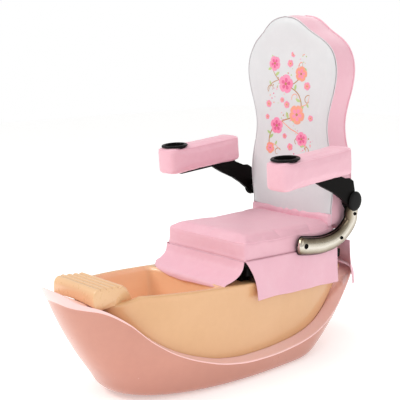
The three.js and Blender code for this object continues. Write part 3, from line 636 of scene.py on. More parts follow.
def vinyl(name, col, col2, pale, rough=0.44, wrinkle=0.25, coat=0.0):
    """Upholstery vinyl: fine pebble grain, soft satin gloss, faint creases, paler on handled places."""
    m = Mat(name)
    big = m.noise(5.0, 3, 0.6)
    mid = m.noise(26, 4, 0.6)
    base = m.mix(m.maprange(big, 0.3, 0.7, 0, 1), col, col2)
    base = m.mix(m.maprange(mid, 0.45, 0.8, 0, 0.28), base, pale)
    grain = m.voronoi(1150, "SMOOTH_F1")
    pores = m.noise(2300, 3, 0.6)
    crease = m.noise(34, 5, 0.62, dist=1.4)
    base = m.mix(m.maprange(grain, 0.25, 0.75, 0.0, 0.10), base, (col[0] * 0.6, col[1] * 0.5, col[2] * 0.55, 1))
    n = m.bump(grain, 0.16, 0.00030)
    n = m.bump(pores, 0.07, 0.00015, n)
    n = m.bump(crease, wrinkle, 0.0016, n)
    r = m.maprange(m.math("ADD", m.math("MULTIPLY", mid, 0.6), m.math("MULTIPLY", grain, 0.4)), 0.2, 0.8, rough - 0.07, rough + 0.09)
    m.set(color=base, rough=r, spec=0.45, sheen=0.12, sheen_rough=0.5, normal=n, coat=coat, coat_rough=0.3)
    return m.m


def plastic(name, col, col2, rough=0.3, bump=0.08, scale=900, coat=0.15, spec=0.5):
    m = Mat(name)
    n = m.noise(30, 4, 0.6)
    s = m.noise(scale, 3, 0.6)
    scr = m.noise(210, 5, 0.75, dist=1.2)
    m.set(color=m.mix(n, col, col2), rough=m.maprange(m.math("ADD", m.math("MULTIPLY", n, 0.5), m.math("MULTIPLY", scr, 0.5)), 0.3, 0.7, rough - 0.06, rough + 0.12),
          spec=spec, coat=coat, coat_rough=0.15, normal=m.bump(s, bump, 0.0003))
    return m.m


def metal(name, col, col2, rough=0.1, brushed=0.0, axis=0):
    m = Mat(name)
    mp = m.node("ShaderNodeMapping")
    sc = [60.0, 60.0, 60.0]
    if brushed:
        sc[axis] = 2.0
    mp.inputs["Scale"].default_value = sc
    m.link(m.xyz, mp.inputs["Vector"])
    n = m.noise(14 if brushed else 1.0, 4, 0.6, vec=mp.outputs[0])
    big = m.noise(18, 3, 0.6)
    m.set(color=m.mix(big, col, col2), metal=1.0, rough=m.maprange(m.math("ADD", m.math("MULTIPLY", n, 0.5), m.math("MULTIPLY", big, 0.5)), 0.3, 0.7, rough * 0.7, rough * 1.6),
          normal=m.bump(n, 0.05 + 0.15 * brushed, 0.0002))
    return m.m


def chrome_painted_reflection(name):
    """Warm chromed sheet with painted reflection: dark brown edges and a bright middle across the band, with light
    handling smears.
    """
    m = Mat(name)
    at = m.node("ShaderNodeAttribute", attribute_name="across")
    u = m.math("ADD", at.outputs["Fac"], m.math("MULTIPLY", m.math("SUBTRACT", m.noise(9, 2, 0.5), 0.5), 0.22))
    # painted reflection: dark and bright stripes across the band stand in for the room's reflections
    col = m.ramp(u, [(0.0, (0.045, 0.030, 0.018, 1)), (0.13, (0.20, 0.155, 0.105, 1)), (0.27, (0.48, 0.43, 0.34, 1)), (0.46, (0.74, 0.70, 0.62, 1)),
                     (0.62, (0.58, 0.53, 0.44, 1)), (0.80, (0.28, 0.23, 0.16, 1)), (0.92, (0.12, 0.085, 0.055, 1)), (1.0, (0.03, 0.022, 0.015, 1))])
    smear = m.noise(40, 4, 0.6)
    col = m.mix(m.maprange(smear, 0.45, 0.8, 0, 0.18), col, (0.40, 0.35, 0.27, 1))
    fine = m.noise(300, 4, 0.6)
    m.set(color=col, metal=0.92, rough=m.maprange(m.math("ADD", m.math("MULTIPLY", fine, 0.4), m.math("MULTIPLY", smear, 0.6)), 0.3, 0.7, 0.10, 0.22),
          normal=m.bump(fine, 0.04, 0.0002))
    return m.m


def wood(name):
    m = Mat(name)
    mp = m.node("ShaderNodeMapping")
    mp.inputs["Scale"].default_value = (1.0, 0.12, 1.0)
    m.link(m.xyz, mp.inputs["Vector"])
    w = m.node("ShaderNodeTexWave", wave_type="BANDS", bands_direction="X")
    w.inputs["Scale"].default_value = 22
    w.inputs["Distortion"].default_value = 9
    w.inputs["Detail"].default_value = 3
    w.inputs["Detail Scale"].default_value = 1.4
    m.link(mp.outputs[0], w.inputs["Vector"])
    f = m.noise(500, 4, 0.7, vec=mp.outputs[0])
    base = m.mix(w.outputs["Fac"], srgb(186, 142, 92), srgb(214, 176, 124))
    base = m.mix(m.maprange(f, 0.4, 0.8, 0, 0.4), base, srgb(140, 98, 58))
    m.set(color=base, rough=m.maprange(f, 0.2, 0.8, 0.55, 0.8), normal=m.bump(f, 0.2, 0.0005))
    return m.m


def make_materials():
    M = {}
    # painted light and shade: hull and ledge are one pink gelcoat, painted darker on the hull's skin and lighter on
    # the upward-facing ledge; low adds painted shade near the floor
    M["hull"] = gelcoat("gelcoat_pink_painted_shade", srgb(208, 144, 125), srgb(200, 135, 116), coat=0.7, rough=0.30, specks=0.7, low=srgb(172, 112, 98))
    M["ledge"] = gelcoat("gelcoat_pink_painted_light", srgb(255, 212, 208), srgb(252, 204, 200), coat=0.55, rough=0.32, specks=0.6)
    M["tan"] = gelcoat("gelcoat_tan", srgb(226, 177, 129), srgb(220, 170, 121), coat=0.6, rough=0.32)
    M["cream"] = ribbed_gelcoat("gelcoat_cream")
    # painted light: a brighter copy of the tan gelcoat for the inside of the foot bath
    M["peach"] = gelcoat("gelcoat_peach_inside", srgb(255, 208, 168), srgb(252, 200, 158), coat=0.6, rough=0.32)
    M["pink"] = vinyl("vinyl_pink", srgb(238, 187, 200), srgb(234, 180, 194), srgb(245, 204, 213))
    M["pink_skirt"] = vinyl("vinyl_pink_skirt", srgb(240, 189, 203), srgb(236, 182, 197), srgb(247, 208, 218), wrinkle=0.35, rough=0.40)
    M["welt"] = vinyl("vinyl_welt", srgb(243, 194, 207), srgb(239, 187, 201), srgb(250, 209, 219), wrinkle=0.1, rough=0.38)
    M["white"] = vinyl("vinyl_white", srgb(224, 224, 226), srgb(218, 219, 221), srgb(232, 232, 234), wrinkle=0.12, rough=0.42)
    M["black_plastic"] = plastic("plastic_black", (0.003, 0.003, 0.0032, 1), (0.0055, 0.005, 0.005, 1), rough=0.34, coat=0.0, spec=0.12)
    M["black_steel"] = plastic("paint_black", (0.0028, 0.0024, 0.0022, 1), (0.0045, 0.004, 0.0036, 1), rough=0.42, bump=0.2, scale=1500, coat=0.0, spec=0.06)
    M["chrome"] = metal("chrome_warm", srgb(214, 208, 192), srgb(224, 220, 208), rough=0.09)
    M["band"] = chrome_painted_reflection("chrome_painted_reflection")
    M["steel"] = metal("steel_brushed", srgb(170, 170, 168), srgb(188, 188, 186), rough=0.28, brushed=1.0)
    M["white_plastic"] = plastic("plastic_ivory", srgb(232, 224, 210), srgb(226, 216, 200), rough=0.3)
    M["grey_plastic"] = plastic("plastic_grey", srgb(112, 114, 116), srgb(98, 100, 102), rough=0.5, bump=0.25)
    M["rubber"] = plastic("rubber_black", (0.02, 0.02, 0.02, 1), (0.035, 0.034, 0.033, 1), rough=0.7, bump=0.4, scale=700, coat=0.0)
    M["ply"] = wood("plywood")
    # painted shade: the seat board is black to darken the gap under the seat cushion
    M["ply_black"] = plastic("board_black_painted_shade", (0.006, 0.0055, 0.005, 1), (0.010, 0.009, 0.008, 1), rough=0.6, bump=0.3, scale=260, coat=0.0, spec=0.1)
    return M


# ------------------------------------------------------------------ hull
def make_hull(M):
    n = 300
    a = even_angles(hull_at, n)
    top = solve_up(hull_at, edge_z, a, 0.0, 40.0)
    b = Builder()
    rings, mats = [], []

    def push(r, mat=0):
        rings.append(r)
        mats.append(mat)
    base = hull_at(3.0, a, -14.0)
    centre = np.array([0.0, -180.0, 3.0])
    for s in (0.25, 0.5, 0.75, 0.93):
        push(centre + (base - centre) * s)
    for k in range(6):
        t = math.pi / 2 * k / 5
        push(hull_at(3 + 11 * (1 - math.cos(t)), a, -14 * (1 - math.sin(t))))
    # towards the bow the light band (the ledge's painted-light copy of the gelcoat) turns down over the edge as a
    # shallow raised fascia
    z_hi = top - 4
    fall = Table([-840, -808, -780, -764, -716, -651, -600, -540], [40, 39, 25, 18, 10, 6, 3, 0.8])(hull_at(top, a)[:, 1])
    fall = np.where(hull_at(top, a)[:, 1] > -540, 0.8, fall)
    lift = 1.6 * np.clip(fall / 12, 0, 1)
    zc = z_hi - fall
    for f in np.linspace(0, 1, 44)[1:]:
        push(hull_at(14 + (zc - 14) * f, a))
    for dz, g, mt in ((0.35, 0.15, 0), (0.9, 0.6, 0), (1.5, 0.92, 1), (2.4, 1.0, 1)):
        push(hull_at(zc + np.minimum(dz, fall * dz / 3.0), a, lift * g), mt)
    for f in np.linspace(0, 1, 8)[1:]:
        push(hull_at(zc + 2.4 * np.minimum(1, fall / 3.0) + (z_hi - zc - 2.4 * np.minimum(1, fall / 3.0)) * f, a, lift), 1)
    # rounded edge between the skin and the ledge
    edge = hull_at(top, a, lift)
    inner_z = solve_up(tub_at, ledge_z, a, 1.2, 30.0)
    inner = tub_at(inner_z, a, 1.2)
    u = inner - edge
    width = np.linalg.norm(u, axis=1)[:, None]
    u /= width
    down = hull_at(z_hi, a, lift) - edge
    down /= np.linalg.norm(down, axis=1)[:, None]
    r = 3.2
    for k, w in enumerate((0.25, 0.5, 0.75, 1.0)):
        push((1 - w) ** 2 * (edge + r * down) + 2 * w * (1 - w) * edge + w * w * (edge + r * u), 1)
    for f in np.linspace(0, 1, 10)[1:]:
        p = edge + r * u + (inner - edge - r * u) * f
        p[:, 2] -= 1.2 * math.sin(math.pi * f)
        push(p, 1)
    lo = tub_at(inner_z - 1.5, a, 0.6)
    lo[:, 2] = inner[:, 2] - 1.6
    push(lo, 1)
    lo = lo.copy()
    lo[:, 2] -= 6
    push(lo, 1)
    zt = top - 9
    for f in (1, 0.8, 0.6, 0.4, 0.2, 0.06):
        push(hull_at(16 + (zt - 16) * f, a, -8.0), 0)
    push(hull_at(11.0, a, -24.0), 0)
    b.rings(rings, centre, [0, -180, 11], mats=mats)
    o = b.obj("tub_outer_shell_surface", [M["hull"], M["ledge"]], slot="hull_gelcoat", replaces=["tub_outer_shell"])
    return o


# ------------------------------------------------------------------ basin
def tub_width(y, z):
    yf, yr, h = tub_bow(z), tub_stern(z), tub_half(z)
    u = np.where(y < BEAM_Y, (BEAM_Y - y) / (BEAM_Y - yf), (y - BEAM_Y) / (yr - BEAM_Y))
    n = np.where(y < BEAM_Y, TUB_N_BOW, TUB_N_STERN)
    return np.where((y <= yf) | (y >= yr), 0.0, h * np.maximum(0, 1 - np.abs(u) ** n) ** (1 / n))


def bath_ring(z, n=70, grow=0.0, zs=None):
    """Closed outline of the foot bath at height z (starts at the bow, runs along +X)."""
    inset, yf, yr = (float(t(z)) for t in bath_tab)
    y0, y1 = yf - grow, yr + grow
    t = np.linspace(0, 1, n + 1)
    y = y0 + (y1 - y0) * (0.5 - 0.5 * np.cos(np.pi * t))
    w = np.maximum(0, tub_width(np.maximum(y, y0), min(z, 345)) - inset + grow)
    e = (y1 - y) / 28
    w = np.where(e < 1, w * np.maximum(0, 1 - (1 - np.minimum(e, 1)) ** 2.6) ** (1 / 2.6), w)
    f = (y - y0) / 70
    w = np.where(f < 1, w * np.maximum(0, 1 - (1 - np.minimum(f, 1)) ** 2.2) ** (1 / 2.2), w)
    right = np.stack([w, y, np.full(n + 1, float(z))], -1)
    left = right[1:-1][::-1].copy()
    left[:, 0] *= -1
    return np.concatenate([right, left])


def resample_closed(P, n):
    Q = np.vstack([P, P[:1]])
    L = np.concatenate([[0], np.cumsum(np.linalg.norm(np.diff(Q, axis=0), axis=1))])
    s = np.arange(n) / n * L[-1]
    return np.stack([np.interp(s, L, Q[:, k]) for k in range(3)], -1)


def in_poly(P, poly):
    x, y = P[:, 0], P[:, 1]
    inside = np.zeros(len(P), bool)
    j = len(poly) - 1
    for i in range(len(poly)):
        xi, yi, xj, yj = poly[i][0], poly[i][1], poly[j][0], poly[j][1]
        c = ((yi > y) != (yj > y)) & (x < (xj - xi) * (y - yi) / (yj - yi + 1e-12) + xi)
        inside ^= c
        j = i
    return inside


def make_basin(M):
    n = 260
    a = even_angles(tub_at, n)
    b = Builder()
    r = 6.5
    top = solve_up(tub_at, rim_z, a, 0.0, 40.0, 380.0)
    rings = []
    for s in (0.985,):
        q = tub_at(16.0, a)
        rings.append(q)
    for f in np.linspace(0, 1, 34)[1:]:
        z = 16 + (top - 22 - 16) * f
        rings.append(tub_at(z, a))
    # the rolled rim: a slight outward roll under a rounded lip
    for dz, g in ((16, 0.5), (12, 1.6), (8, 2.2), (5, 2.0), (2.6, 1.0), (1.0, -1.0), (0.2, -3.6), (0.0, -r)):
        rings.append(np.concatenate([tub_at(top - dz, a, g)[:, :2], (top - dz)[:, None]], 1))
    rings[-1][:, 2] = rim_z(rings[-1][:, 1])
    b.rings(rings)
    outer = rings[-1]
    # bath wall, from the rim down to the floor
    m = 220
    rim_ring = resample_closed(bath_ring(345.0), m)
    rim_ring[:, 2] = rim_z(rim_ring[:, 1])
    cen = np.array([0, -470.0])
    nrm = np.stack([np.roll(rim_ring, -1, 0)[:, 1] - np.roll(rim_ring, 1, 0)[:, 1], -(np.roll(rim_ring, -1, 0)[:, 0] - np.roll(rim_ring, 1, 0)[:, 0])], -1)
    nrm /= np.linalg.norm(nrm, axis=1)[:, None] + 1e-9
    flip = np.sign(((rim_ring[:, :2] - cen) * nrm).sum(1).mean())
    nrm *= flip

    def ring_at(z):
        q = resample_closed(bath_ring(z), m)
        return q
    levels = np.concatenate([np.linspace(330, 110, 20), [100, 92, 85, 79, 74.5, 70.5, 67, 64.5, 63]])
    inner = []
    for off, dz in ((6.5, 0.0), (3.2, 0.35), (1.2, 1.6), (0.25, 3.6), (0.0, 7.0)):
        q = rim_ring.copy()
        q[:, :2] += nrm * off
        q[:, 2] = rim_z(q[:, 1]) - dz
        inner.append(q)
    for z in levels:
        q = ring_at(float(z))
        # the first rings follow the sloping rim
        share = np.clip((z - 250) / 95, 0, 1)
        zz = z + share * (rim_z(q[:, 1]) - 10 - 330)
        for i in range(1):
            q[:, 2] = zz
        inner.append(q)
    last = inner[-1]
    drain = np.array([0, -430.0])
    ang = np.arctan2(last[:, 1] - drain[1], last[:, 0] - drain[0])
    circ = np.stack([24.2 * np.cos(ang), drain[1] + 24.2 * np.sin(ang), np.full(m, 62.0)], -1)
    for f in (0.25, 0.5, 0.75, 1.0):
        q = last * (1 - f) + circ * f
        q[:, 2] = 62 + (last[:, 2] - 62) * (1 - f) ** 2
        inner.append(q)
    b.rings(inner)
    # the top: rim and pedestal deck between the two outlines
    outline, hole = outer[:, :2], inner[0][:, :2]
    pts = [Vector(p) for p in outline] + [Vector(p) for p in hole]
    edges = [(i, (i + 1) % n) for i in range(n)] + [(n + i, n + (i + 1) % m) for i in range(m)]
    gx, gy = np.meshgrid(np.arange(-190, 191, 13.0), np.arange(-280, 400, 13.0))
    g = np.stack([gx.ravel(), gy.ravel()], -1)
    near = lambda P, Q: np.sqrt(((P[:, None, :] - Q[None, :, :]) ** 2).sum(-1)).min(1)
    g = g[in_poly(g, outline) & ~in_poly(g, hole)]
    g = g[(near(g, outline) > 7) & (near(g, hole) > 7)]
    pts += [Vector(p) for p in g]
    v, _, faces, *_ = delaunay_2d_cdt(pts, edges, [], 0, 1e-5)
    V = np.array([[p.x, p.y] for p in v])
    F = np.array([f for f in faces if len(f) == 3])
    c = V[F].mean(1)
    keep = in_poly(c, outline) & ~in_poly(c, hole)
    V3 = np.concatenate([V, rim_z(V[:, 1])[:, None]], 1)
    b.add(V3, F[keep].tolist())
    o = b.obj("basin_shell_surface", [M["tan"], M["peach"]], body=None, slot="basin_gelcoat", replaces=["basin_shell"], recalc=True)
    # thickness, then the jet's hole through the wall behind the bath
    s = o.modifiers.new("thick", "SOLIDIFY")
    s.thickness, s.offset, s.use_even_offset = 0.0055, -1, False
    apply_mods(o)
    cut = Builder()
    fr = lambda P: np.stack([P[:, 0], P[:, 2], P[:, 1] + 180], -1)
    cut.rings(lathe_rings([[40.2, -330], [40.2, -240]], 64, fr), [0, -330, 180], [0, -240, 180])
    c = cut.obj("cutter", [], body=None)
    bo = o.modifiers.new("hole", "BOOLEAN")
    bo.operation, bo.solver, bo.object = "DIFFERENCE", "EXACT", c
    apply_mods(o)
    bpy.data.objects.remove(c)
    me = o.data
    cc = np.array([tuple(p.center) for p in me.polygons])
    cc = unworld(cc)
    # painted light: faces inside the foot bath take the brighter copy of the tan gelcoat
    inside = (cc[:, 1] > -688) & (cc[:, 1] < -281) & (np.abs(cc[:, 0]) < tub_width(cc[:, 1], np.clip(cc[:, 2], 16, 345)) - 11) & (cc[:, 2] < rim_z(cc[:, 1]) - 2.5) & (cc[:, 2] > 60)
    me.polygons.foreach_set("material_index", inside.astype(np.int32))
    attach(o, BASE)
    return o


# ------------------------------------------------------------------ footrest
def make_footrest(M):
    half, front, rear, bottom, top = 106.0, -728.0, -590.0, 326.0, 388.0
    # side view over the top, from the front's foot to the rear's foot
    prof = [[-706, bottom + 0.4], [-717, 331.4], [front + 0.6, 336.1], [front, 338.2], [front - 0.4, 350], [front + 0.2, 360]]
    for k in range(1, 9):       # bullnose
        t = math.pi / 2 * k / 8
        prof.append([front + 21 - 20.5 * math.cos(t), 360 + 22.5 * math.sin(t)])
    y0, y1, nr = -706.0, -614.0, 4
    p = (y1 - y0) / nr

    def face(y):
        return 385.0 - 9.5 * (y - y0) / (y1 - y0)
    for k in range(nr):
        for t in np.linspace(0, 1, 17)[:-1]:
            y = y0 + p * (k + t)
            prof.append([y, face(y) - 7.0 + 7.0 * math.sin(math.pi * t) ** 0.8])
    prof += [[y1, face(y1) - 7.0], [y1 + 2.5, face(y1) - 7.4], [y1 + 4.8, face(y1) - 9.6], [y1 + 8, face(y1) - 15], [rear - 5, 341], [rear - 0.6, bottom + 4], [rear, bottom]]
    prof = np.array(prof)
    c = np.array([(front + rear) / 2, bottom])
    hy = (rear - front) / 2
    b = Builder()
    rings = []

    def ring(x, inset):
        s = 1 - inset / hy
        s2 = 1 - inset / (top - bottom)
        q = np.empty((len(prof), 3))
        q[:, 0] = x
        q[:, 1] = c[0] + (prof[:, 0] - c[0]) * s
        q[:, 2] = c[1] + (prof[:, 1] - c[1]) * s2
        return q
    R = 5.0
    side = []
    for k in range(6):
        t = math.pi / 2 * k / 5
        side.append(ring(half - R + R * math.cos(t), R * (1 - math.sin(t))))
    mid = [ring(x, 0.0) for x in np.linspace(half - R - 4, -(half - R - 4), 22)]
    other = [q * np.array([-1, 1, 1]) for q in side[::-1]]
    V = np.stack(side + mid + other)
    b.grid(V)
    nv = V.shape[1]
    b.f.append([k for k in range(nv)][::-1])
    b.m.append(0)
    last = (V.shape[0] - 1) * nv
    b.f.append([last + k for k in range(nv)])
    b.m.append(0)
    o = b.obj("footrest_surface", [M["cream"]], body=None, slot="footrest_gelcoat", replaces=["footrest"])
    co = unworld(co_of(o))
    dip = np.clip(1 - np.clip((co[:, 1] + 700) / 8, 0, 1), 0, 1) * np.clip((348 - co[:, 2]) / 12, 0, 1)
    low = co.copy()
    low[:, 2] -= 6.4 * dip * (np.abs(co[:, 0]) / 104) ** 2
    set_co(o, world(low))
    # painted shade: how deep each point lies in a groove, read by the cream material to darken the grooves
    deep = np.clip((385.0 - 9.5 * (co[:, 1] - y0) / (y1 - y0) - co[:, 2] - 1.2) / 5.2, 0, 1) * ((co[:, 1] > y0 + 0.5) & (co[:, 1] < y1 + 3) & (co[:, 2] > 366) & (np.abs(co[:, 0]) < half - 1))
    at = o.data.attributes.new("valley", "FLOAT", "POINT")
    at.data.foreach_set("value", deep.astype(np.float32))
    # make sure the skin faces outwards: the top's normals point up
    me = o.data
    up = sum(p.normal.z * p.area for p in me.polygons)
    if up < 0:
        me.flip_normals()
    s = o.modifiers.new("thick", "SOLIDIFY")
    s.thickness, s.offset = 0.005, -1
    apply_mods(o)
    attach(o, "footrest")
    return o


# ------------------------------------------------------------------ stuffed pieces
def soft_box(hx, y0, y1, z0, z1, r_plan, r_edge, step=5.0):
    """Closed rounded box (local mm) as vertices and quads, ready to remesh."""
    w = hx
    n = 12
    out = []
    cy, hy = (y0 + y1) / 2, (y1 - y0) / 2

    def plan(ins):
        p = []
        rr = max(r_plan - ins, 1.0)
        for sx, sy, a0 in ((1, 1, 0), (-1, 1, 90), (-1, -1, 180), (1, -1, 270)):
            for k in range(n + 1):
                t = math.radians(a0 + 90 * k / n)
                p.append([sx * (w - ins - rr) + rr * math.cos(t), cy + sy * (hy - ins - rr) + rr * math.sin(t)])
        return np.array(p)
    prof = []
    for k in range(5):
        t = math.pi / 2 * k / 4
        prof.append((r_edge * (1 - math.sin(t)), z0 + r_edge * (1 - math.cos(t))))
    for k in range(5):
        t = math.pi / 2 * k / 4
        prof.append((r_edge * (1 - math.cos(t)), z1 - r_edge * (1 - math.sin(t))))
    rings = [np.column_stack([plan(ins), np.full((n + 1) * 4, z)]) for ins, z in prof]
    return rings, [0, cy, z0], [0, cy, z1]


def puff(o, voxel, pressure, cap_mm, frames=20, cap_fn=None):
    """Blows the closed mesh up a little with cloth, capped, and keeps the result."""
    rm = o.modifiers.new("remesh", "REMESH")
    rm.mode, rm.voxel_size = "VOXEL", voxel
    apply_mods(o)
    rest = co_of(o)
    cl = o.modifiers.new("cloth", "CLOTH")
    st = cl.settings
    st.quality = 5
    st.mass = 0.3
    st.tension_stiffness = st.compression_stiffness = 14
    st.shear_stiffness = 8
    st.bending_stiffness = 0.6
    st.use_pressure = True
    st.uniform_pressure_force = pressure
    st.effector_weights.gravity = 0
    cl.collision_settings.use_collision = False
    cl.collision_settings.use_self_collision = False
    sc = bpy.context.scene
    cl.point_cache.frame_start, cl.point_cache.frame_end = 1, frames + 1
    for f in range(1, frames + 1):
        sc.frame_set(f)
    dg = bpy.context.evaluated_depsgraph_get()
    ev = o.evaluated_get(dg)
    co = np.empty(len(ev.data.vertices) * 3, np.float32)
    ev.data.vertices.foreach_get("co", co)
    co = co.reshape(-1, 3).astype(float)
    o.modifiers.clear()
    sc.frame_set(1)
    d = co - rest
    L = np.linalg.norm(d, axis=1)[:, None] + 1e-12
    cap = (cap_mm * 0.001) if cap_fn is None else cap_fn(rest)[:, None]
    d = d / L * (cap * np.tanh(L / cap))
    set_co(o, rest + d)
    return rest


def smooth_mesh(o, it=2, lam=0.5):
    s = o.modifiers.new("s", "SMOOTH")
    s.factor, s.iterations = lam, it
    apply_mods(o)


def seam_pull(o, path_w, depth, width, inward=None):
    """Pulls the surface in along a seam (world points)."""
    co, nr = co_of(o), normals_of(o)
    P = np.asarray(path_w)
    d = np.full(len(co), 1e9)
    for k in range(0, len(co), 4000):
        q = co[k:k + 4000]
        d[k:k + 4000] = np.sqrt(((q[:, None, :] - P[None, :, :]) ** 2).sum(-1)).min(1)
    w = np.exp(-(d / width) ** 2)
    set_co(o, co - nr * (depth * w)[:, None])


def snap_path(o, path_w, out):
    """Path points moved to the surface of o and then out along its normal."""
    bm = bmesh.new()
    bm.from_mesh(o.data)
    t = BVHTree.FromBMesh(bm)
    res = []
    for p in path_w:
        q, nrm, _, _ = t.find_nearest(Vector(p))
        res.append(np.array(q) + np.array(nrm) * out)
    bm.free()
    res = np.array(res)
    for _ in range(3):
        res = (np.roll(res, 1, 0) + 2 * res + np.roll(res, -1, 0)) / 4
    return res


def unworld(P):
    P = np.array(P, float) * 1000
    P[..., 1] -= SHIFT_Y
    return P


def rounded_rect(hx, y0, y1, r, n=200):
    cy, hy = (y0 + y1) / 2, (y1 - y0) / 2
    p = []
    for sx, sy, a0 in ((1, 1, 0), (-1, 1, 90), (-1, -1, 180), (1, -1, 270)):
        for k in range(13):
            t = math.radians(a0 + 90 * k / 12)
            p.append([sx * (hx - r) + r * math.cos(t), cy + sy * (hy - r) + r * math.sin(t), 0])
    return resample_closed(np.array(p, float), n)


def subdivide(o, levels=1):
    s = o.modifiers.new("sub", "SUBSURF")
    s.levels = s.render_levels = levels
    apply_mods(o)


def finish_soft(o, mats):
    me = o.data
    me.materials.clear()
    for m in mats if isinstance(mats, (list, tuple)) else [mats]:
        me.materials.append(m)
    me.polygons.foreach_set("use_smooth", [True] * len(me.polygons))


def make_seat(M):
    b = Builder()
    rings, s, e = soft_box(191.6, 0, 461, -72.5, -1.0, 8, 5)
    b.rings(rings, s, e)
    o = b.obj("seat_cushion_cover", [M["pink"]], body=None, slot="pink_vinyl", replaces=["seat_cushion"], local=SEAT)
    top_w = lambda: world(tilt(rounded_rect(192.0, -0.6, 461.6, 9, 260) + [0, 0, -3.5], SEAT))
    bot_w = lambda: world(tilt(rounded_rect(192.0, -0.6, 461.6, 9, 260) + [0, 0, -69.5], SEAT))

    def cap(rest):
        d = unworld(rest)
        # back to local height
        z = (d[:, 2] - SEAT[1]) + (d[:, 1] - SEAT[0]) * math.sin(math.radians(2.2))
        c = np.where(z > -7, 0.0155, 0.0032)
        return np.where(z < -55, 0.0011, c)
    puff(o, 0.006, 4.0, 9, cap_fn=cap)
    smooth_mesh(o, 2)
    subdivide(o)
    for path in (top_w(), bot_w()):
        seam_pull(o, path, 0.0014, 0.0045)
    # corner seams of the boxing, and a few soft pulls that start in the corners
    vz = np.linspace(-66, -6, 14)
    for sx in (1, -1):
        for yy in (0.6, 460.4):
            seam_pull(o, world(tilt([[sx * 191.5, yy, z] for z in vz], SEAT)), 0.0009, 0.003)
    co = co_of(o)
    d = unworld(co)
    x = d[:, 0]
    yl = d[:, 1] - SEAT[0]
    zl = (d[:, 2] - SEAT[1]) + yl * math.sin(math.radians(2.2))
    topw = np.clip((zl + 4) / 6, 0, 1)
    back = np.clip((yl - 150) / 270, 0, 1)
    dip = (10.0 * back * back * (3 - 2 * back) - 5.0 * np.exp(-((x / 120) ** 2 + ((yl - 300) / 120) ** 2))) * topw
    soft = fnoise(co, 9.0, 2.0, 2) * 1.3 * topw
    pulls = np.zeros(len(co))
    rng = np.random.default_rng(7)
    for sx in (1, -1):
        for yy in (0.0, 462.0):
            for k in range(5):
                ang = math.radians(18 + 54 * (k + rng.uniform(-0.3, 0.3)) / 4)
                dx, dy = -sx * math.cos(ang), (1 if yy < 200 else -1) * math.sin(ang)
                ax, ay = x - sx * 186, yl - (yy + (6 if yy < 200 else -6))
                along, across = ax * dx + ay * dy, -ax * dy + ay * dx
                pulls += np.where(along > 0, -0.9 * np.exp(-(across / (3.5 + along * 0.06)) ** 2) * np.exp(-(along / 46) ** 2), 0)
    # puckers of the side panels below and above the welts
    side = np.clip((-zl - 8) / 8, 0, 1) * np.clip((zl + 70) / 8, 0, 1)
    run = np.where(np.abs(x) > 188, yl, x)
    pk = 0.7 * np.sin(run / 23 + 1.3 * np.sin(run / 61)) * side * np.exp(-(((zl + 38) / 22) ** 2)) + 0.5 * fnoise(co, 26, 5.0, 2) * side
    set_co(o, co + normals_of(o) * ((dip + soft + pulls * topw + pk) * 0.001)[:, None])
    finish_soft(o, M["pink"])
    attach(o, BASE)
    # welts
    for name, path in (("seat_welt_top", top_w()), ("seat_welt_bottom", bot_w())):
        p = snap_path(o, path, 0.0003)
        w = Builder()
        add_tube(w, unworld(p), 1.6 if name.endswith('top') else 1.9, 10, closed=True)
        wo = w.obj(name, [M["welt"]], slot="pink_vinyl")
    # hairline seams down the corners of the boxing are part of the cover
    return o


def armrest_local(x, side):
    return x


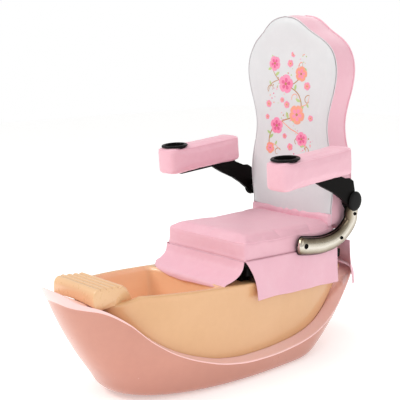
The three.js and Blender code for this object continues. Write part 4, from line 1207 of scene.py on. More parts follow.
def make_armrest(M, side, source=None):
    S = 1 if side == "left" else -1
    body = f"armrest_{side}"
    name = f"armrest_pad_cover_{side}"
    if source is None:
        b = Builder()
        rings, s, e = soft_box(47.6, -53.6, 291.6, -92.6, -1.6, 26, 12)
        b.rings([r + [ARM_X, 0, 0] for r in rings], np.array(s) + [ARM_X, 0, 0], np.array(e) + [ARM_X, 0, 0])
        o = b.obj(name, [M["pink"]], body=None, slot="pink_vinyl", local=PADS)
        puff(o, 0.0045, 4.0, 3.6)
        smooth_mesh(o, 2)
        top = world(tilt(rounded_rect(49.0, -55, 293, 25, 170) + [ARM_X, 0, -4.5], PADS))
        seam_pull(o, top, 0.0013, 0.0035)
        bot = world(tilt(rounded_rect(49.0, -55, 293, 25, 170) + [ARM_X, 0, -89.5], PADS))
        seam_pull(o, bot, 0.0012, 0.004)
        # front corner seams
        for sx in (1, -1):
            seam_pull(o, world(tilt([[ARM_X + sx * 48.5, -33, z] for z in np.linspace(-86, -8, 22)], PADS)), 0.0006, 0.003)
        subdivide(o)
        co = co_of(o)
        d = unworld(co)
        wob = 0.7 * fnoise(co, 22, 1.0, 3) + 0.5 * np.sin(d[:, 1] / 19 + d[:, 2] / 40) * np.exp(-((d[:, 0] - ARM_X) / 30) ** 2) * 0.4
        set_co(o, co + normals_of(o) * (wob * 0.001)[:, None])
        # pocket for the cup
        c = Builder()
        c.rings([tilt(r, PADS) for r in lathe_rings([[39.4, -66], [39.4, 30]], 64, lambda P: P + [ARM_X, 0, 0])],
                tilt([[ARM_X, 0, -66]], PADS)[0], tilt([[ARM_X, 0, 30]], PADS)[0])
        cut = c.obj("cup_cutter", [], body=None)
        bo = o.modifiers.new("hole", "BOOLEAN")
        bo.operation, bo.solver, bo.object = "DIFFERENCE", "EXACT", cut
        apply_mods(o)
        bpy.data.objects.remove(cut)
    else:
        me = source.data.copy()
        o = bpy.data.objects.new(name, me)
        bpy.context.scene.collection.objects.link(o)
        co = co_of(o)
        co[:, 0] *= -1
        set_co(o, co)
        me.flip_normals()
    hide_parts(f"armrest_pad_{side}")
    finish_soft(o, M["pink"])
    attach(o, body)
    # a fine welt along the top seam
    path = world(tilt(rounded_rect(49.0, -55, 293, 25, 170) + [ARM_X, 0, -4.5], PADS))
    path[:, 0] *= S
    p = snap_path(o, path, 0.0004)
    w = Builder()
    add_tube(w, unworld(p), 1.5, 8, closed=True)
    w.obj(f"armrest_welt_{side}", [M["welt"]], body=body, slot="pink_vinyl")
    # cup holder: flange, inner bead, deep well
    pr = smooth_profile([[0, -61], [33, -61], [35.4, -58], [37.6, 0.5], [46.0, 0.5], [47.5, 2.0], [47.5, 4.4], [45.4, 6.9], [42.6, 7.4], [41.4, 6.2], [39.6, 6.2],
                         [38.4, 7.8], [36.6, 7.8], [35.2, 5.0], [34.6, -10], [34.2, -12], [34.2, -14], [33.2, -52], [30.5, -56.4], [0, -57.4]], 1.2, 3)
    c = Builder()
    fr = lambda P: tilt(np.stack([S * (P[:, 0] + ARM_X), P[:, 1], P[:, 2]], -1), PADS)
    prof = [p for p in pr if p[0] > 0.5]
    c.rings(lathe_rings(prof, 80, fr), tilt([[S * ARM_X, 0, -61]], PADS)[0], tilt([[S * ARM_X, 0, -57.4]], PADS)[0])
    c.obj(f"cup_holder_moulding_{side}", [M["black_plastic"]], body=body, slot="black_plastic", replaces=[f"cup_holder_{side}"])
    return o


# ------------------------------------------------------------------ backrest
def back_outline(n=400):
    pts = [[p[0], p[1], 0] for p in OUTLINE[:-1]]
    half = catmull(pts, 240)[:, :2]
    half = np.vstack([half, [[186, 438]]])
    right = half
    left = half[::-1].copy()
    left[:, 0] *= -1
    loop = np.vstack([right, left[:-1]])          # top, down the +X side, along the bottom, up the -X side
    P = np.column_stack([loop[:, 0], np.zeros(len(loop)), loop[:, 1]])
    return resample_closed(P, n)


def outline_normals(L):
    t = np.roll(L, -1, 0) - np.roll(L, 1, 0)
    nrm = np.stack([t[:, 2], np.zeros(len(L)), -t[:, 0]], -1)
    nrm /= np.linalg.norm(nrm, axis=1)[:, None] + 1e-9
    c = np.array([0, 0, 800.0])
    if ((L - c) * nrm).sum() < 0:
        nrm = -nrm
    return nrm


def head_roll(z):
    t = np.clip((np.asarray(z, float) - 1035) / 115, 0, 1)
    return 20 * t * t * (3 - 2 * t)


def tail_drop(y, z):
    """The lower end of the back hangs a little lower behind the cushion than in front of it."""
    u = min(max((y - 26) / 26, 0.0), 1.0)
    v = np.clip((505 - np.asarray(z, float)) / 60, 0, 1)
    return 22.0 * u * u * (3 - 2 * u) * v * v * (3 - 2 * v)


def to_back(P):
    P = np.array(P, float)
    t = np.clip((P[..., 2] - 1050) / 100, 0, 1)
    P[..., 0] -= 7 * t * t * (3 - 2 * t)
    P[..., 2] -= BACK[1]
    return tilt(P, BACK)


def make_back(M):
    n = 420
    L = back_outline(n)
    N = outline_normals(L)
    spine_z = np.clip(L[:, 2], 470, 985)
    spine = np.column_stack([np.zeros(n), np.zeros(n), spine_z])

    def dist(P):
        d = np.full(len(P), 1e9)
        Q = L[:, [0, 2]]
        for k in range(0, len(P), 3000):
            q = P[k:k + 3000][:, [0, 2]]
            d[k:k + 3000] = np.sqrt(((q[:, None, :] - Q[None, :, :]) ** 2).sum(-1)).min(1)
        return d

    def panel(name, mat, y_edge, sign, crown, groove, inset, slot, replaces, thick):
        """A padded panel: y_edge is its seam's depth; it swells towards sign (-1 front, +1 rear)."""
        ts = np.concatenate([np.linspace(0, 0.12, 12), np.linspace(0.12, 1, 34)[1:]])
        base = L - N * inset
        rings = [base * (1 - t) + spine * t for t in ts]
        V = np.stack(rings)
        flat = V.reshape(-1, 3)
        way = spine - base
        span = np.abs((way * N).sum(1))
        d = np.maximum((ts[:, None] * span[None, :]).reshape(-1), 0)
        h = crown * (1 - (1 - np.clip(d / 34, 0, 1)) ** 2.4)
        h += crown * 0.45 * (1 - np.exp(-(d / 90) ** 2))
        calm = np.clip((flat[:, 2] - 540) / 90, 0, 1) * np.clip((1040 - flat[:, 2]) / 90, 0, 1)
        h -= groove * calm * np.exp(-((d - 45) / 9.0) ** 2)
        h += 0.6 * fnoise(world(flat) + [0, 0, 0], 14, 3.0 if sign < 0 else 8.0, 3) * np.clip(d / 30, 0, 1)
        # small gathers along the seam
        s = np.tile(np.arange(n) / n * 3300.0, len(ts))
        h += 0.35 * np.sin(s / 7.5 + 1.7 * np.sin(s / 37)) * np.exp(-((d - 9) / 8) ** 2)
        flat = flat.copy()
        if sign > 0:
            flat[:, 2] -= tail_drop(y_edge, flat[:, 2])
        flat[:, 1] = y_edge + sign * h - (head_roll(flat[:, 2]) if sign < 0 else 0)
        V = flat.reshape(V.shape)
        b = Builder()
        back = V[0] - N * 3
        back[:, 1] = y_edge - sign * thick - (head_roll(back[:, 2]) if sign < 0 else 0)
        b.rings([back] + list(V), start=[0, y_edge - sign * thick, 780])
        o = b.obj(name, [mat], slot=slot, replaces=replaces, local=None, body=None)
        set_co(o, world(to_back(unworld(co_of(o)))))
        smooth_mesh(o, 4)
        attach(o, BASE)
        return o
    front = panel("backrest_front_panel", M["print"], 3.0, -1, 8.5, 1.5, 0.5, "white_vinyl", ["backrest_front_pad"], 3)
    rear = panel("backrest_rear_panel", M["pink"], 99.0, 1, 5.0, 1.4, 2.0, "pink_vinyl", ["backrest_rear_cover"], 3)
    # boxing band between the two seams, with a slight belly and vertical gathers
    ys = np.concatenate([[3.0, 4.0, 6.0, 9.0], np.linspace(14, 88, 16), [93, 96, 98, 99.0]])
    s = np.arange(n) / n * 3300.0
    bottom = (L[:, 2] < 446) & (np.abs(L[:, 0]) < 184)
    rings = []
    for y in ys:
        t = (y - 3) / 96
        belly = 2.4 * math.sin(math.pi * t) ** 1.2
        gather = 0.45 * np.sin(s / 9 + 2 * np.sin(s / 41)) * (math.exp(-((y - 8) / 8) ** 2) + math.exp(-((y - 94) / 8) ** 2))
        wave = 0.8 * np.sin(s / 160 + t * 2.0) * math.sin(math.pi * t)
        q = L + N * (belly + gather + wave - 1.0)[:, None]
        q[:, 2] -= tail_drop(y, L[:, 2])
        q[:, 1] = y - head_roll(L[:, 2]) * (1 - t)
        rings.append(q)
    inner = []
    for y in (96.0, 50.0, 6.0):
        q = L - N * 6
        q[:, 2] -= tail_drop(y, L[:, 2])
        q[:, 1] = y - head_roll(L[:, 2]) * (99 - y) / 96
        inner.append(q)
    b = Builder()
    V = np.stack(rings + inner)
    b.grid(V, cu=True, cv=True)
    o = b.obj("backrest_boxing", [M["pink"]], slot="pink_vinyl", replaces=["backrest_gusset"], body=None)
    set_co(o, world(to_back(unworld(co_of(o)))))
    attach(o, BASE)
    # welts on both seams
    for name, y, rad, mt, sl in (("backrest_welt_front", 2.4, 1.3, "white", "white_vinyl"), ("backrest_welt_rear", 99.2, 2.2, "welt", "pink_vinyl")):
        q = L - N * (0.4 if y < 50 else -0.2)
        q[:, 2] -= tail_drop(y, L[:, 2])
        q[:, 1] = y - (head_roll(L[:, 2]) if y < 50 else 0)
        w = Builder()
        add_tube(w, to_back(q), rad, 10, closed=True)
        w.obj(name, [M[mt]], slot=sl)
    # gathered strip at the foot of the white panel
    nx, nz = 300, 14
    run = np.linspace(-199, 199, nx)
    Z = np.linspace(436, 480, nz)
    RR, ZZ = np.meshgrid(run, Z, indexing="ij")
    XX = np.sign(RR) * 190.5 * np.tanh((np.abs(RR) / 190.5) ** 7) ** (1 / 7)
    wrap = np.maximum(np.abs(RR) - 188, 0)
    t = (ZZ - 436) / 44
    ph = RR / 7.4 + 1.6 * np.sin(RR / 31) + 0.8 * np.sin(RR / 13.7 + 2)
    amp = 3.4 * (1 - 0.45 * t) * (0.6 + 0.4 * np.sin(XX / 47 + 1))
    amp = amp * np.exp(-(wrap / 7) ** 2)
    Y = -10.0 + amp * np.sin(ph) - 1.6 * np.sin(math.pi * np.clip(t, 0, 1)) ** 0.7 + wrap * 1.15
    Y += np.where(t > 0.8, (t - 0.8) * 26, 0)
    ZZ = ZZ + 1.2 * np.sin(XX / 19 + 0.5) * t
    V = np.stack([XX, Y, ZZ], -1)
    b = Builder()
    b.grid(V)
    r = b.obj("backrest_gathered_strip", [M["pink_skirt"]], slot="pink_vinyl", replaces=["backrest_ruffle"], body=None)
    set_co(r, world(to_back(unworld(co_of(r)))))
    so = r.modifiers.new("thick", "SOLIDIFY")
    so.thickness, so.offset = 0.0014, 0
    apply_mods(r)
    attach(r, BASE)
    return front


# ------------------------------------------------------------------ skirts
def make_side_skirt(M, side):
    S = 1 if side == "left" else -1
    nu, nv = 96, 26
    u, v = np.meshgrid(np.linspace(0, 1, nu), np.linspace(0, 1, nv), indexing="ij")
    # top edge follows the cushion's lower welt; bottom edge is straight
    top = np.stack([np.full(nu, 196.5), -202 + 464 * np.linspace(0, 1, nu), 386.9 - 17.9 * np.linspace(0, 1, nu)], -1)
    bot = np.stack([np.full(nu, 211.5), -166 + 420 * np.linspace(0, 1, nu), 255.5 - 20.0 * np.linspace(0, 1, nu)], -1)
    P = top[:, None, :] * (1 - v[..., None]) + bot[:, None, :] * v[..., None]
    yy = P[..., 1]
    # front edge curves back as it falls; the cloth swings out below the frame
    P[..., 1] += 16 * np.sin(math.pi * v) * (1 - u) ** 6
    fall = v ** 1.3
    over = 2.4 / ((1 + np.exp(-(yy - 46) / 5)) * (1 + np.exp((yy - 206) / 5)))
    P[..., 0] = 196.2 + over * (1 - v) + 13.0 * fall + 2.6 * fall * np.sin(yy / 38 + 0.6) + 1.5 * fall * np.sin(yy / 17 + 1.9) + 7.5 * fall * np.exp(-((yy + 170) / 40) ** 2)
    P[..., 0] -= 1.6 * np.exp(-(v / 0.08) ** 2)
    P[..., 0] *= S
    b = Builder()
    b.grid(P)
    o = b.obj(f"skirt_{side}_cloth", [M["pink_skirt"]], body=None, slot="pink_vinyl", replaces=[f"skirt_{side}"])
    so = o.modifiers.new("thick", "SOLIDIFY")
    so.thickness, so.offset = 0.0016, 0
    apply_mods(o)
    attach(o, BASE)
    return o


def cut_size(P):
    """Length and height of the cloth before it is hung: the longest run measured along each way of the sheet, in metres."""
    P = np.asarray(P, float)
    along = np.linalg.norm(np.diff(P, axis=0), axis=2).sum(axis=0).max()
    down = np.linalg.norm(np.diff(P, axis=1), axis=2).sum(axis=1).max()
    return along * 0.001, down * 0.001


def hung_sheet(name, M, xs, column, nv, wave):
    """A stiff flap: column(x) gives the side-view path of the cloth at x, from its sewn edge to its hem."""
    rows = []
    for x in xs:
        q = np.asarray(column(x), float)
        q = catmull([[0, a, b] for a, b in q], 90)[:, 1:]
        s = np.concatenate([[0], np.cumsum(np.linalg.norm(np.diff(q, axis=0), axis=1))])
        k = np.linspace(0, s[-1], nv)
        q = np.column_stack([np.interp(k, s, q[:, 0]), np.interp(k, s, q[:, 1])])
        rows.append(np.column_stack([np.full(nv, x), q]))
    P = np.stack(rows)
    flat = np.zeros(2)
    flat[0] = np.linalg.norm(np.diff(P[:, nv // 2], axis=0), axis=1).sum()
    # waves stand off along the cloth's own normal, always away from what is under it
    dv = np.gradient(P, axis=1)
    nrm = np.stack([np.zeros(P.shape[:2]), dv[..., 2], -dv[..., 1]], -1)
    nrm /= np.linalg.norm(nrm, axis=-1)[..., None] + 1e-9
    out = np.sign((nrm[..., 1:] * np.sign([P[0, -1, 1] - P[0, 0, 1], 0.2])).sum(-1).mean())
    P = P + nrm * out * wave(P[..., 0], np.linspace(0, 1, nv)[None, :])[..., None]
    b = Builder()
    b.grid(P)
    o = b.obj(name, [M["pink_skirt"]], body=None, slot="pink_vinyl", weld=False)
    return o, cut_size(P)


def make_drapes(M, hull, basin):
    # front flap: leans out over the edge of the foot bath
    prof = np.array([(-203.5, 384.5), (-205.5, 372), (-212, 357), (-226, 343.5), (-246, 333.5), (-266, 327.5), (-281, 324), (-288.5, 319.5), (-291.8, 311), (-292.4, 300)])
    dense = catmull([[0, a, b] for a, b in prof], 160)[:, 1:]
    hem_x = [-190, -179, -136, -75, -25, 54, 130, 152, 190]
    hem_z = [330, 328, 317, 306, 303, 307, 309.5, 314, 317.5]

    def front(x):
        zb = np.interp(x, hem_x, hem_z)
        zs = np.concatenate([np.linspace(384.5, 330.5, 10), [zb]]) if zb < 330 else np.concatenate([np.linspace(384.5, zb + 8, 10), [zb]])
        if zb < 326:
            zs = np.concatenate([np.linspace(384.5, 330, 9), np.linspace(327, zb, 5)])
        return np.column_stack([np.interp(-zs, -dense[:, 1], dense[:, 0]), zs])

    def front_wave(x, t):
        near = np.exp(-((x - 168) / 30) ** 2) * np.sin((x - 168) / 8.5) * 2.2
        return t ** 1.5 * (1.6 + 1.1 * np.sin(x / 31 + 0.8) + 0.7 * np.sin(x / 12.5 + 2) + np.abs(near)) + 0.5 * np.exp(-((t - 0.12) / 0.1) ** 2) * (1 + np.sin(x / 5.3 + 2 * np.sin(x / 29)))
    o, cut = hung_sheet("skirt_front_cloth", M, np.linspace(-188.5, 188.5, 130), front, 30, front_wave)
    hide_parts("skirt_front")
    finish_sheet(o)

    # rear flap: lies down over the stern's edge, and its hem hangs free outside
    sx = [0, 50, 82, 113, 137, 158, 176, 183, 191]
    sy = [436, 435, 432, 425, 413, 397, 377, 367, 342]

    def rear(x):
        yh = float(np.interp(abs(x), sx, sy)) + 4
        d = yh - 347
        q = [(347, 367), (347 + 0.05 * d, 348), (347 + 0.30 * d, 311), (347 + 0.62 * d, 279), (yh - 4, 258), (yh + 1.5, 248)]
        used = sum(math.dist(a, b) for a, b in zip(q, q[1:]))
        rest = max(171 - used, 14)
        for k in (0.33, 0.66, 1.0):
            q.append((yh + 3.5 + 7 * k * rest / 60, 248 - rest * k))
        return q

    def rear_wave(x, t):
        fold = np.exp(-((np.abs(x) - 172) / 16) ** 2) * np.abs(np.sin((np.abs(x) - 165) / 7.0)) * 3.2
        return t ** 1.4 * (1.4 + 1.2 * np.sin(x / 27 + 1) + 0.8 * np.sin(x / 11) + fold)
    o, cut = hung_sheet("skirt_rear_cloth", M, np.linspace(-187, 187, 130), rear, 34, rear_wave)
    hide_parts("skirt_rear")
    finish_sheet(o)


def finish_sheet(o):
    s = o.modifiers.new("sub", "SUBSURF")
    s.levels = s.render_levels = 1
    apply_mods(o)
    so = o.modifiers.new("thick", "SOLIDIFY")
    so.thickness, so.offset = 0.0016, 0
    apply_mods(o)
    o.data.polygons.foreach_set("use_smooth", [True] * len(o.data.polygons))
    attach(o, BASE)


# ------------------------------------------------------------------ armrest hardware
def tube_path(n=120):
    return catmull(TUBE_PATH, n)


def make_support(M, side):
    S = 1 if side == "left" else -1
    mir = lambda P: np.asarray(P, float) * np.array([S, 1, 1])
    n = 120
    path = tube_path(n)
    d = np.gradient(path, axis=0)
    yz = np.hypot(d[:, 1], d[:, 2])
    ny, nz = -d[:, 2] / yz, d[:, 1] / yz
    s = np.concatenate([[0], np.cumsum(np.linalg.norm(np.diff(path, axis=0), axis=1))])
    W, D = 30.0, 19.0

    def width(k, R=15.0):
        q = min(s[k] / R, 1.0)
        return math.sqrt(max(1 - (1 - q) ** 2, 0.0))
    rings = []
    for k in range(n + 1):
        w = max(width(k), 0.10)
        a = np.linspace(0, math.pi, 25)
        # a shallow rounded channel: a full crown over a flat back
        uu = (W * w) * np.cos(a)
        depth = D * min(1.0, 0.35 + 0.65 * w)
        vv = -D / 2 + depth * np.sin(a) ** 0.72
        back = []
        for t in np.linspace(-1, 1, 7)[1:-1]:
            back.append([W * w * t, -D / 2 + 1.5])
        prof = [[x, y] for x, y in zip(uu, vv)] + back
        c = path[k]
        rings.append(np.array([[c[0] + v, c[1] + ny[k] * u, c[2] + nz[k] * u] for u, v in prof]))
    b = Builder()
    b.rings([mir(r) for r in rings], mir(rings[0].mean(0)), mir(rings[-1].mean(0)))
    ch = b.obj(f"support_channel_{side}", [M["band"]], slot="chrome", replaces=[f"support_tube_{side}"], sharp=50)
    # painted reflection: where each point lies across the band, for the chrome's painted stripes
    co = unworld(co_of(ch))
    near = ((co[:, None, 1:] - path[None, :, 1:]) ** 2).sum(-1).argmin(1)
    u = (co[:, 1] - path[near, 1]) * ny[near] + (co[:, 2] - path[near, 2]) * nz[near]
    at = ch.data.attributes.new("across", "FLOAT", "POINT")
    at.data.foreach_set("value", np.clip(0.5 + 0.5 * u / W, 0, 1).astype(np.float32))
    # strap behind it, a little wider, so that it shows as a dark edge
    rings = []
    v1, v0 = -D / 2 - 0.4, -D / 2 - 4.4
    for k in range(n + 1):
        w = max(width(k, 18.0), 0.08)
        h = (W + 3) * w
        c = path[k]
        prof = [[h, v0 + 0.8], [h, v1 - 0.8], [h - 0.8, v1], [-h + 0.8, v1], [-h, v1 - 0.8], [-h, v0 + 0.8], [-h + 0.8, v0], [h - 0.8, v0]]
        rings.append(np.array([[c[0] + v, c[1] + ny[k] * u, c[2] + nz[k] * u] for u, v in prof]))
    b = Builder()
    b.rings([mir(r) for r in rings], mir(rings[0].mean(0)), mir(rings[-1].mean(0)))
    e = TUBE_PATH[0][0] + v1

    def bar(x0, x1, y0, y1, z0, z1, axis, r=1.5):
        if S < 0:
            x0, x1 = -x1, -x0
        box_rings(b, x0, x1, y0, y1, z0, z1, r, axis=axis)
    bar(193.6, 196.6, 62, 190, 322, 377, 2)
    bar(194.6, e - 2, 84, 150, 373, 382, 1)
    end = TUBE_PATH[-1][0]
    neck = np.array([[284, 490], [350, 496], [345, 512], [318, 535], [300, 549], [285, 549.6], [265, 540], [263, 527], [266, 515], [275, 503]], float)
    mid = neck.mean(0)
    slab = []
    for x, k in ((end + v0 + 0.2, 0.96), (end + v0 + 1.2, 1.0), (end + v1 - 1.2, 1.0), (end + v1 - 0.2, 0.96)):
        q = mid + (neck - mid) * k
        slab.append(mir(np.column_stack([np.full(len(q), x), q])))
    b.rings(slab, slab[0].mean(0), slab[-1].mean(0))
    fr = lambda P: np.stack([S * P[:, 2], HUB_Y + P[:, 0], HUB_Z + P[:, 1]], -1)
    b.rings(lathe_rings([[8.4, 208.8], [21, 208.8], [22, 209.8], [22, 234.4], [21, 235.4], [8.4, 235.4]], 48, fr))
    b.rings(lathe_rings([[8.4, 208.8], [8.4, 235.4]], 48, fr))
    b.obj(f"support_strap_frame_{side}", [M["black_steel"]], slot="black_steel", replaces=[f"support_strap_{side}"], sharp=40)
    # socket screws with a washer rim, and the bolt in the channel's front end
    for nm, t in (("front", 0.52), ("rear", 0.86)):
        k = int(t * n)
        c = path[k]
        x1 = c[0] + D / 2 + 0.2
        g = lambda P, c=c: np.stack([S * P[:, 2], c[1] + P[:, 0], c[2] + P[:, 1]], -1)
        sc = Builder()
        sc.rings(lathe_rings(smooth_profile([[6.4, x1 - 2], [6.4, x1 + 0.8], [5.0, x1 + 1.2], [5.0, x1 + 4.0], [4.2, x1 + 4.8], [2.6, x1 + 4.8], [2.3, x1 + 1.6]], 0.4, 2), 32, g),
                 mir([x1 - 2, c[1], c[2]]), mir([x1 + 1.6, c[1], c[2]]))
        sc.obj(f"tube_screw_head_{nm}_{side}", [M["black_steel"]], slot="black_steel", replaces=[f"tube_screw_{nm}_{side}"], sharp=35)
    c = path[int(0.055 * n)]
    x1 = c[0] + D / 2 + 0.2
    g = lambda P: np.stack([S * P[:, 2], c[1] + 4 + P[:, 0], c[2] + P[:, 1]], -1)
    eb = Builder()
    eb.rings(lathe_rings(smooth_profile([[9.4, x1 - 9], [9.4, x1 + 0.8], [8.0, x1 + 2.4], [5.6, x1 + 2.8], [4.6, x1 + 2.6], [4.2, x1 - 0.2]], 0.5, 2), 36, g),
             mir([x1 - 9, c[1] + 4, c[2]]), mir([x1 - 0.2, c[1] + 4, c[2]]))
    eb.obj(f"channel_end_bolt_{side}", [M["black_steel"]], slot="black_steel", sharp=35)
    # hub cap
    prof = smooth_profile([[0.6, 248.7], [32, 248.7], [35, 250.0], [35, 252.4], [33.0, 254.8], [28.5, 256.2], [20, 256.8], [0.6, 257]], 2.0, 4)
    g = lambda P: np.stack([S * P[:, 2], HUB_Y + P[:, 0], HUB_Z + P[:, 1]], -1)
    h = Builder()
    h.rings(lathe_rings(prof, 72, g), mir([248.7, HUB_Y, HUB_Z]), mir([257, HUB_Y, HUB_Z]))
    h.obj(f"hub_cap_moulding_{side}", [M["black_plastic"]], body=f"armrest_{side}", slot="black_plastic", replaces=[f"hub_cap_{side}"])


def soften_cad(name, mat, bevel=0.0012, seg=2):
    """A CAD node whose shape is right: weld, small bevels and a real finish."""
    o = frame["nodes"][name]
    w = o.modifiers.new("weld", "WELD")
    w.merge_threshold = 0.00002
    if bevel:
        bv = o.modifiers.new("bevel", "BEVEL")
        bv.width, bv.segments, bv.limit_method, bv.angle_limit = bevel, seg, "ANGLE", math.radians(35)
        bv.harden_normals = False
        bv.use_clamp_overlap = True
    o.data.materials.clear()
    o.data.materials.append(mat)
    return o


# ------------------------------------------------------------------ print on the back panel
def print_material():
    """White vinyl for the back panel; the spray of simple flowers, leaves and curls lies on it as separate thin
    meshes.
    """
    m = Mat("vinyl_white_print")
    big = m.noise(5.0, 3, 0.6)
    mid = m.noise(26, 4, 0.6)
    base = m.mix(m.maprange(big, 0.3, 0.7, 0, 1), srgb(217, 217, 219), srgb(212, 213, 215))
    base = m.mix(m.maprange(mid, 0.45, 0.8, 0, 0.3), base, srgb(226, 226, 228))
    grain = m.voronoi(1150, "SMOOTH_F1")
    pores = m.noise(2300, 3, 0.6)
    crease = m.noise(30, 5, 0.6, dist=1.2)
    nrm = m.bump(grain, 0.14, 0.0003)
    nrm = m.bump(pores, 0.06, 0.00015, nrm)
    nrm = m.bump(crease, 0.10, 0.0014, nrm)
    r = m.maprange(m.math("ADD", m.math("MULTIPLY", mid, 0.6), m.math("MULTIPLY", grain, 0.4)), 0.2, 0.8, 0.36, 0.50)
    m.set(color=base, rough=r, spec=0.45, sheen=0.08, sheen_rough=0.5, normal=nrm)
    return m.m


class Spray:
    """Thin printed shapes laid on the padded panel: each is a fan or ribbon of points in the panel's own plane."""

    def __init__(self, panel):
        bm = bmesh.new()
        bm.from_mesh(panel.data)
        self.tree = BVHTree.FromBMesh(bm)
        bm.free()
        self.parts = {}

    def lay(self, P2, lift):
        P = np.column_stack([P2[:, 0], np.full(len(P2), -60.0), P2[:, 1] - BACK[1]])
        A = world(tilt(P, BACK))
        P[:, 1] = 60.0
        B = world(tilt(P, BACK))
        out = []
        for a, b in zip(A, B):
            d = Vector(b - a).normalized()
            q, nrm, _, _ = self.tree.ray_cast(Vector(a), d)
            if q is None:
                return None
            out.append(np.array(q) + np.array(nrm) * lift)
        return np.array(out)

    def fan(self, ink, centre, rim, lift=0.00035, rows=3):
        rim = np.asarray(rim, float)
        c = np.asarray(centre, float)
        P = [c[None, :]] + [c + (rim - c) * k / rows for k in range(1, rows + 1)]
        Q = self.lay(np.vstack(P), lift)
        if Q is None:
            return
        n = len(rim)
        F = [[0, 1 + k, 1 + (k + 1) % n] for k in range(n)]
        for r in range(rows - 1):
            a, b = 1 + r * n, 1 + (r + 1) * n
            F += [[a + k, b + k, b + (k + 1) % n, a + (k + 1) % n] for k in range(n)]
        self.parts.setdefault(ink, []).append((Q, F))

    def ribbon(self, ink, pts, w0, w1, lift=0.0003):
        P = catmull([[a, 0, b] for a, b in pts], max(24, 10 * len(pts)))[:, [0, 2]]
        d = np.gradient(P, axis=0)
        d /= np.linalg.norm(d, axis=1)[:, None] + 1e-9
        nn = np.column_stack([-d[:, 1], d[:, 0]])
        t = np.linspace(0, 1, len(P))
        w = (w0 + (w1 - w0) * t) * (0.55 + 0.45 * np.sin(math.pi * np.clip(t * 1.05 + 0.02, 0, 1)) ** 0.5)
        V = np.vstack([P + nn * w[:, None] / 2, P - nn * w[:, None] / 2])
        Q = self.lay(V, lift)
        if Q is None:
            return
        n = len(P)
        self.parts.setdefault(ink, []).append((Q, [[k, k + 1, n + k + 1, n + k] for k in range(n - 1)]))

    def petal(self, ink, x, z, ang, length, width, lift=0.00035, tip=0.75):
        t = np.linspace(0, 2 * math.pi, 26, endpoint=False)
        u = 0.5 - 0.5 * np.cos(t)
        v = np.sin(t) * (0.35 + 0.65 * u) * 0.72
        a, b = u * length, v * width
        ca, sa = math.cos(ang), math.sin(ang)
        rim = np.column_stack([x + a * ca - b * sa, z + a * sa + b * ca])
        self.fan(ink, (x + length * 0.55 * ca, z + length * 0.55 * sa), rim, lift)

    def leaf(self, ink, x, z, ang, length, width, lift=0.0003):
        t = np.linspace(0, 2 * math.pi, 24, endpoint=False)
        u = 0.5 - 0.5 * np.cos(t)
        v = np.sin(t) * np.sin(math.pi * u) ** 0.35 * 0.5
        ca, sa = math.cos(ang), math.sin(ang)
        a, b = u * length, v * width + 0.10 * length * u * (1 - u)
        rim = np.column_stack([x + a * ca - b * sa, z + a * sa + b * ca])
        self.fan(ink, (x + length * 0.5 * ca, z + length * 0.5 * sa), rim, lift)

    def dot(self, ink, x, z, r, lift=0.0003):
        t = np.linspace(0, 2 * math.pi, 14, endpoint=False)
        self.fan(ink, (x, z), np.column_stack([x + r * np.cos(t), z + r * np.sin(t)]), lift, 1)

    def flower(self, x, z, r, turn, inks, heart):
        for k in range(5):
            a = turn + k * 2 * math.pi / 5
            c = math.cos(a)
            self.petal(inks[0], x + 0.12 * r * c, z + 0.12 * r * math.sin(a), a, r, r * 0.98, 0.00042)
            self.petal(inks[1], x + 0.10 * r * c, z + 0.10 * r * math.sin(a), a + 0.07, r * 0.62, r * 0.42, 0.00056)
        self.dot(heart, x, z, r * 0.17, 0.00070)

    def curl(self, ink, x, z, ang, size, hand, w=2.2):
        pts = []
        for k in range(15):
            t = k / 14
            rr = size * (1 - 0.80 * t)
            a = ang + hand * 4.4 * t
            pts.append((x + size * math.cos(ang) * -1 + rr * math.cos(a), z + size * math.sin(ang) * -1 + rr * math.sin(a)))
        self.ribbon(ink, pts, w, w * 0.55)

    def finish(self, M):
        for ink, parts in self.parts.items():
            V, F, n = [], [], 0
            for Q, faces in parts:
                V.append(Q)
                F += [[n + k for k in f] for f in faces]
                n += len(Q)
            me = bpy.data.meshes.new("back_print_" + ink)
            me.from_pydata(np.vstack(V).tolist(), [], F)
            me.update()
            me.materials.append(M["ink_" + ink])
            me.polygons.foreach_set("use_smooth", [True] * len(me.polygons))
            o = bpy.data.objects.new("back_print_" + ink, me)
            bpy.context.scene.collection.objects.link(o)
            bm = bmesh.new()
            bm.from_mesh(me)
            for f in bm.faces:
                f.normal_update()
            flip = [f for f in bm.faces if f.normal.y > 0]
            if flip:
                bmesh.ops.reverse_faces(bm, faces=flip)
            bm.to_mesh(me)
            bm.free()
            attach(o, BASE)


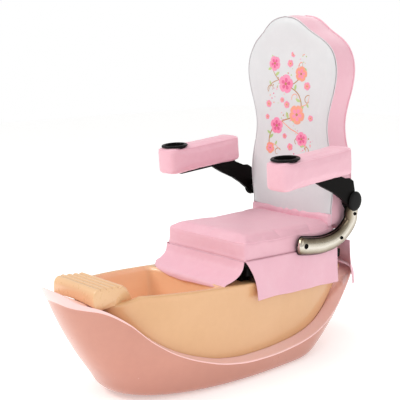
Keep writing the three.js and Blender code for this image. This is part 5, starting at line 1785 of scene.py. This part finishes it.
def make_print(M, panel):
    """A garland of simple five-petalled flowers, leaves, curls and dots that climbs the panel."""
    sp = Spray(panel)
    sp.ribbon("gold", [(-84, 676), (-98, 716), (-82, 762), (-30, 796), (26, 816), (58, 850), (46, 894), (2, 922), (-46, 944), (-74, 984), (-60, 1026)], 5.0, 3.2)
    sp.ribbon("coral", [(-30, 794), (8, 770), (44, 754), (74, 724), (80, 684)], 4.2, 2.4)
    sp.ribbon("gold", [(2, 922), (36, 938), (64, 968), (66, 1006)], 3.8, 2.2)
    sp.ribbon("coral", [(-98, 714), (-66, 706), (-40, 688)], 3.2, 1.8)
    sp.ribbon("coral", [(58, 852), (84, 862), (96, 890)], 3.4, 1.8)
    sp.ribbon("gold", [(-46, 944), (-80, 930), (-98, 902)], 3.4, 1.8)
    for ink, x, z, a, s_, h in (("gold", -40, 690, 0.6, 19, 1), ("coral", -46, 752, 5.2, 18, -1), ("gold", 96, 892, 1.2, 20, 1), ("coral", 16, 874, 3.6, 19, -1), ("gold", -100, 902, 3.6, 20, -1),
                                ("coral", 66, 1006, 1.3, 18, 1), ("gold", 82, 682, 5.0, 18, 1), ("gold", -60, 1028, 1.2, 18, -1), ("coral", -8, 962, 2.2, 16, 1), ("gold", 34, 716, 4.2, 15, -1)):
        sp.curl(ink, x, z, a, s_, h, 3.4)
    for x, z, a, l in ((-94, 730, 0.7, 24), (-88, 746, 2.6, 22), (-2, 806, 1.9, 26), (12, 812, 5.3, 24), (56, 838, 0.9, 22), (56, 868, 2.7, 25), (30, 908, 1.3, 22), (-24, 934, 4.3, 25),
                       (-62, 958, 0.6, 24), (-76, 988, 3.5, 23), (50, 750, 5.6, 21), (72, 714, 3.4, 21), (50, 952, 2.1, 21), (68, 986, 5.9, 19), (-66, 1016, 2.2, 20), (-66, 706, 1.1, 18), (82, 864, 5.2, 18), (-84, 924, 1.9, 18)):
        sp.leaf("green", x, z, a, l, l * 0.44)
    for x, z, r, t, kind in ((-58, 778, 27, 0.3, 0), (38, 822, 31, 1.0, 1), (-12, 930, 30, 0.1, 0), (-64, 1002, 24, 0.8, 0), (60, 966, 24, 1.3, 1), (60, 736, 23, 0.5, 0), (-92, 694, 19, 0.9, 1)):
        sp.flower(x, z, r, t, ("pink", "rose") if kind == 0 else ("coral", "pink"), "gold")
    for x, z, r, t in ((-8, 856, 12, 0.4), (86, 924, 13, 1.1), (-96, 856, 12, 0.2), (10, 1002, 12, 0.9), (6, 704, 12, 0.6), (-30, 872, 9, 0.5), (24, 1034, 9, 1.2), (-20, 742, 9, 0.1), (100, 812, 10, 0.7), (-104, 808, 9, 0.3)):
        sp.flower(x, z, r, t, ("pink", "coral"), "gold")
    rng = np.random.default_rng(11)
    for k in range(96):
        t = rng.uniform(0, 1)
        x = 78 * math.sin(7.5 * t + 0.6) + rng.normal(0, 22)
        z = 672 + 376 * t + rng.normal(0, 10)
        if abs(x) < 112:
            sp.dot(("pink", "rose", "coral", "gold", "green")[k % 5], x, z, rng.uniform(1.4, 3.0))
    sp.finish(M)


# ------------------------------------------------------------------ assemble
M = make_materials()
M["print"] = print_material()
for ink_, c1_, c2_, c3_ in (("pink", (240, 130, 170), (246, 158, 188), (250, 190, 208)), ("rose", (222, 84, 138), (232, 108, 154), (242, 150, 182)),
                            ("coral", (240, 148, 122), (246, 172, 146), (250, 200, 176)), ("green", (170, 196, 118), (190, 210, 144), (214, 226, 178)),
                            ("gold", (176, 120, 66), (200, 148, 92), (222, 180, 130))):
    M["ink_" + ink_] = vinyl("printed_" + ink_, srgb(*c1_), srgb(*c2_), srgb(*c3_), wrinkle=0.08, rough=0.42)
make_stage()
hull = make_hull(M)
basin = make_basin(M)
make_footrest(M)
make_seat(M)
pad = make_armrest(M, "left")
make_armrest(M, "right", source=pad)
make_print(M, make_back(M))
for s_ in ("left", "right"):
    make_side_skirt(M, s_)
    make_support(M, s_)
    soften_cad(f"arm_bracket_{s_}", M["black_steel"], 0.0016, 3)
    soften_cad(f"pivot_bolt_{s_}", M["steel"], 0.0006)
make_drapes(M, hull, basin)
for nm, mt, bv in (("drain_flange", "chrome", 0), ("drain_stopper", "chrome", 0), ("drain_lock_nut", "white_plastic", 0), ("drain_tailpipe", "white_plastic", 0),
                   ("jet_body", "white_plastic", 0), ("jet_lock_nut", "grey_plastic", 0), ("jet_impeller", "white_plastic", 0), ("jet_cover", "white_plastic", 0),
                   ("jet_motor", "grey_plastic", 0), ("power_gland", "black_plastic", 0), ("footrest_hinge_pin", "steel", 0), ("footrest_lug_left", "steel", 0.0008),
                   # painted shade: the seat board takes the black board material
                   ("footrest_lug_right", "steel", 0.0008), ("seat_board", "ply_black", 0.001), ("backrest_board", "ply", 0.001), ("back_upright_left", "black_steel", 0.001),
                   ("back_upright_right", "black_steel", 0.001), ("foot_pad_front_left", "rubber", 0.0008), ("foot_pad_front_right", "rubber", 0.0008),
                   ("foot_pad_rear_left", "rubber", 0.0008), ("foot_pad_rear_right", "rubber", 0.0008)):
    soften_cad(nm, M[mt], bv)
for nm in ("seat_rail_left", "seat_rail_right", "seat_cross_front", "seat_cross_rear", "seat_post_front_left", "seat_post_front_right", "seat_post_rear_left", "seat_post_rear_right"):
    soften_cad(nm, M["black_steel"], 0.002, 3)
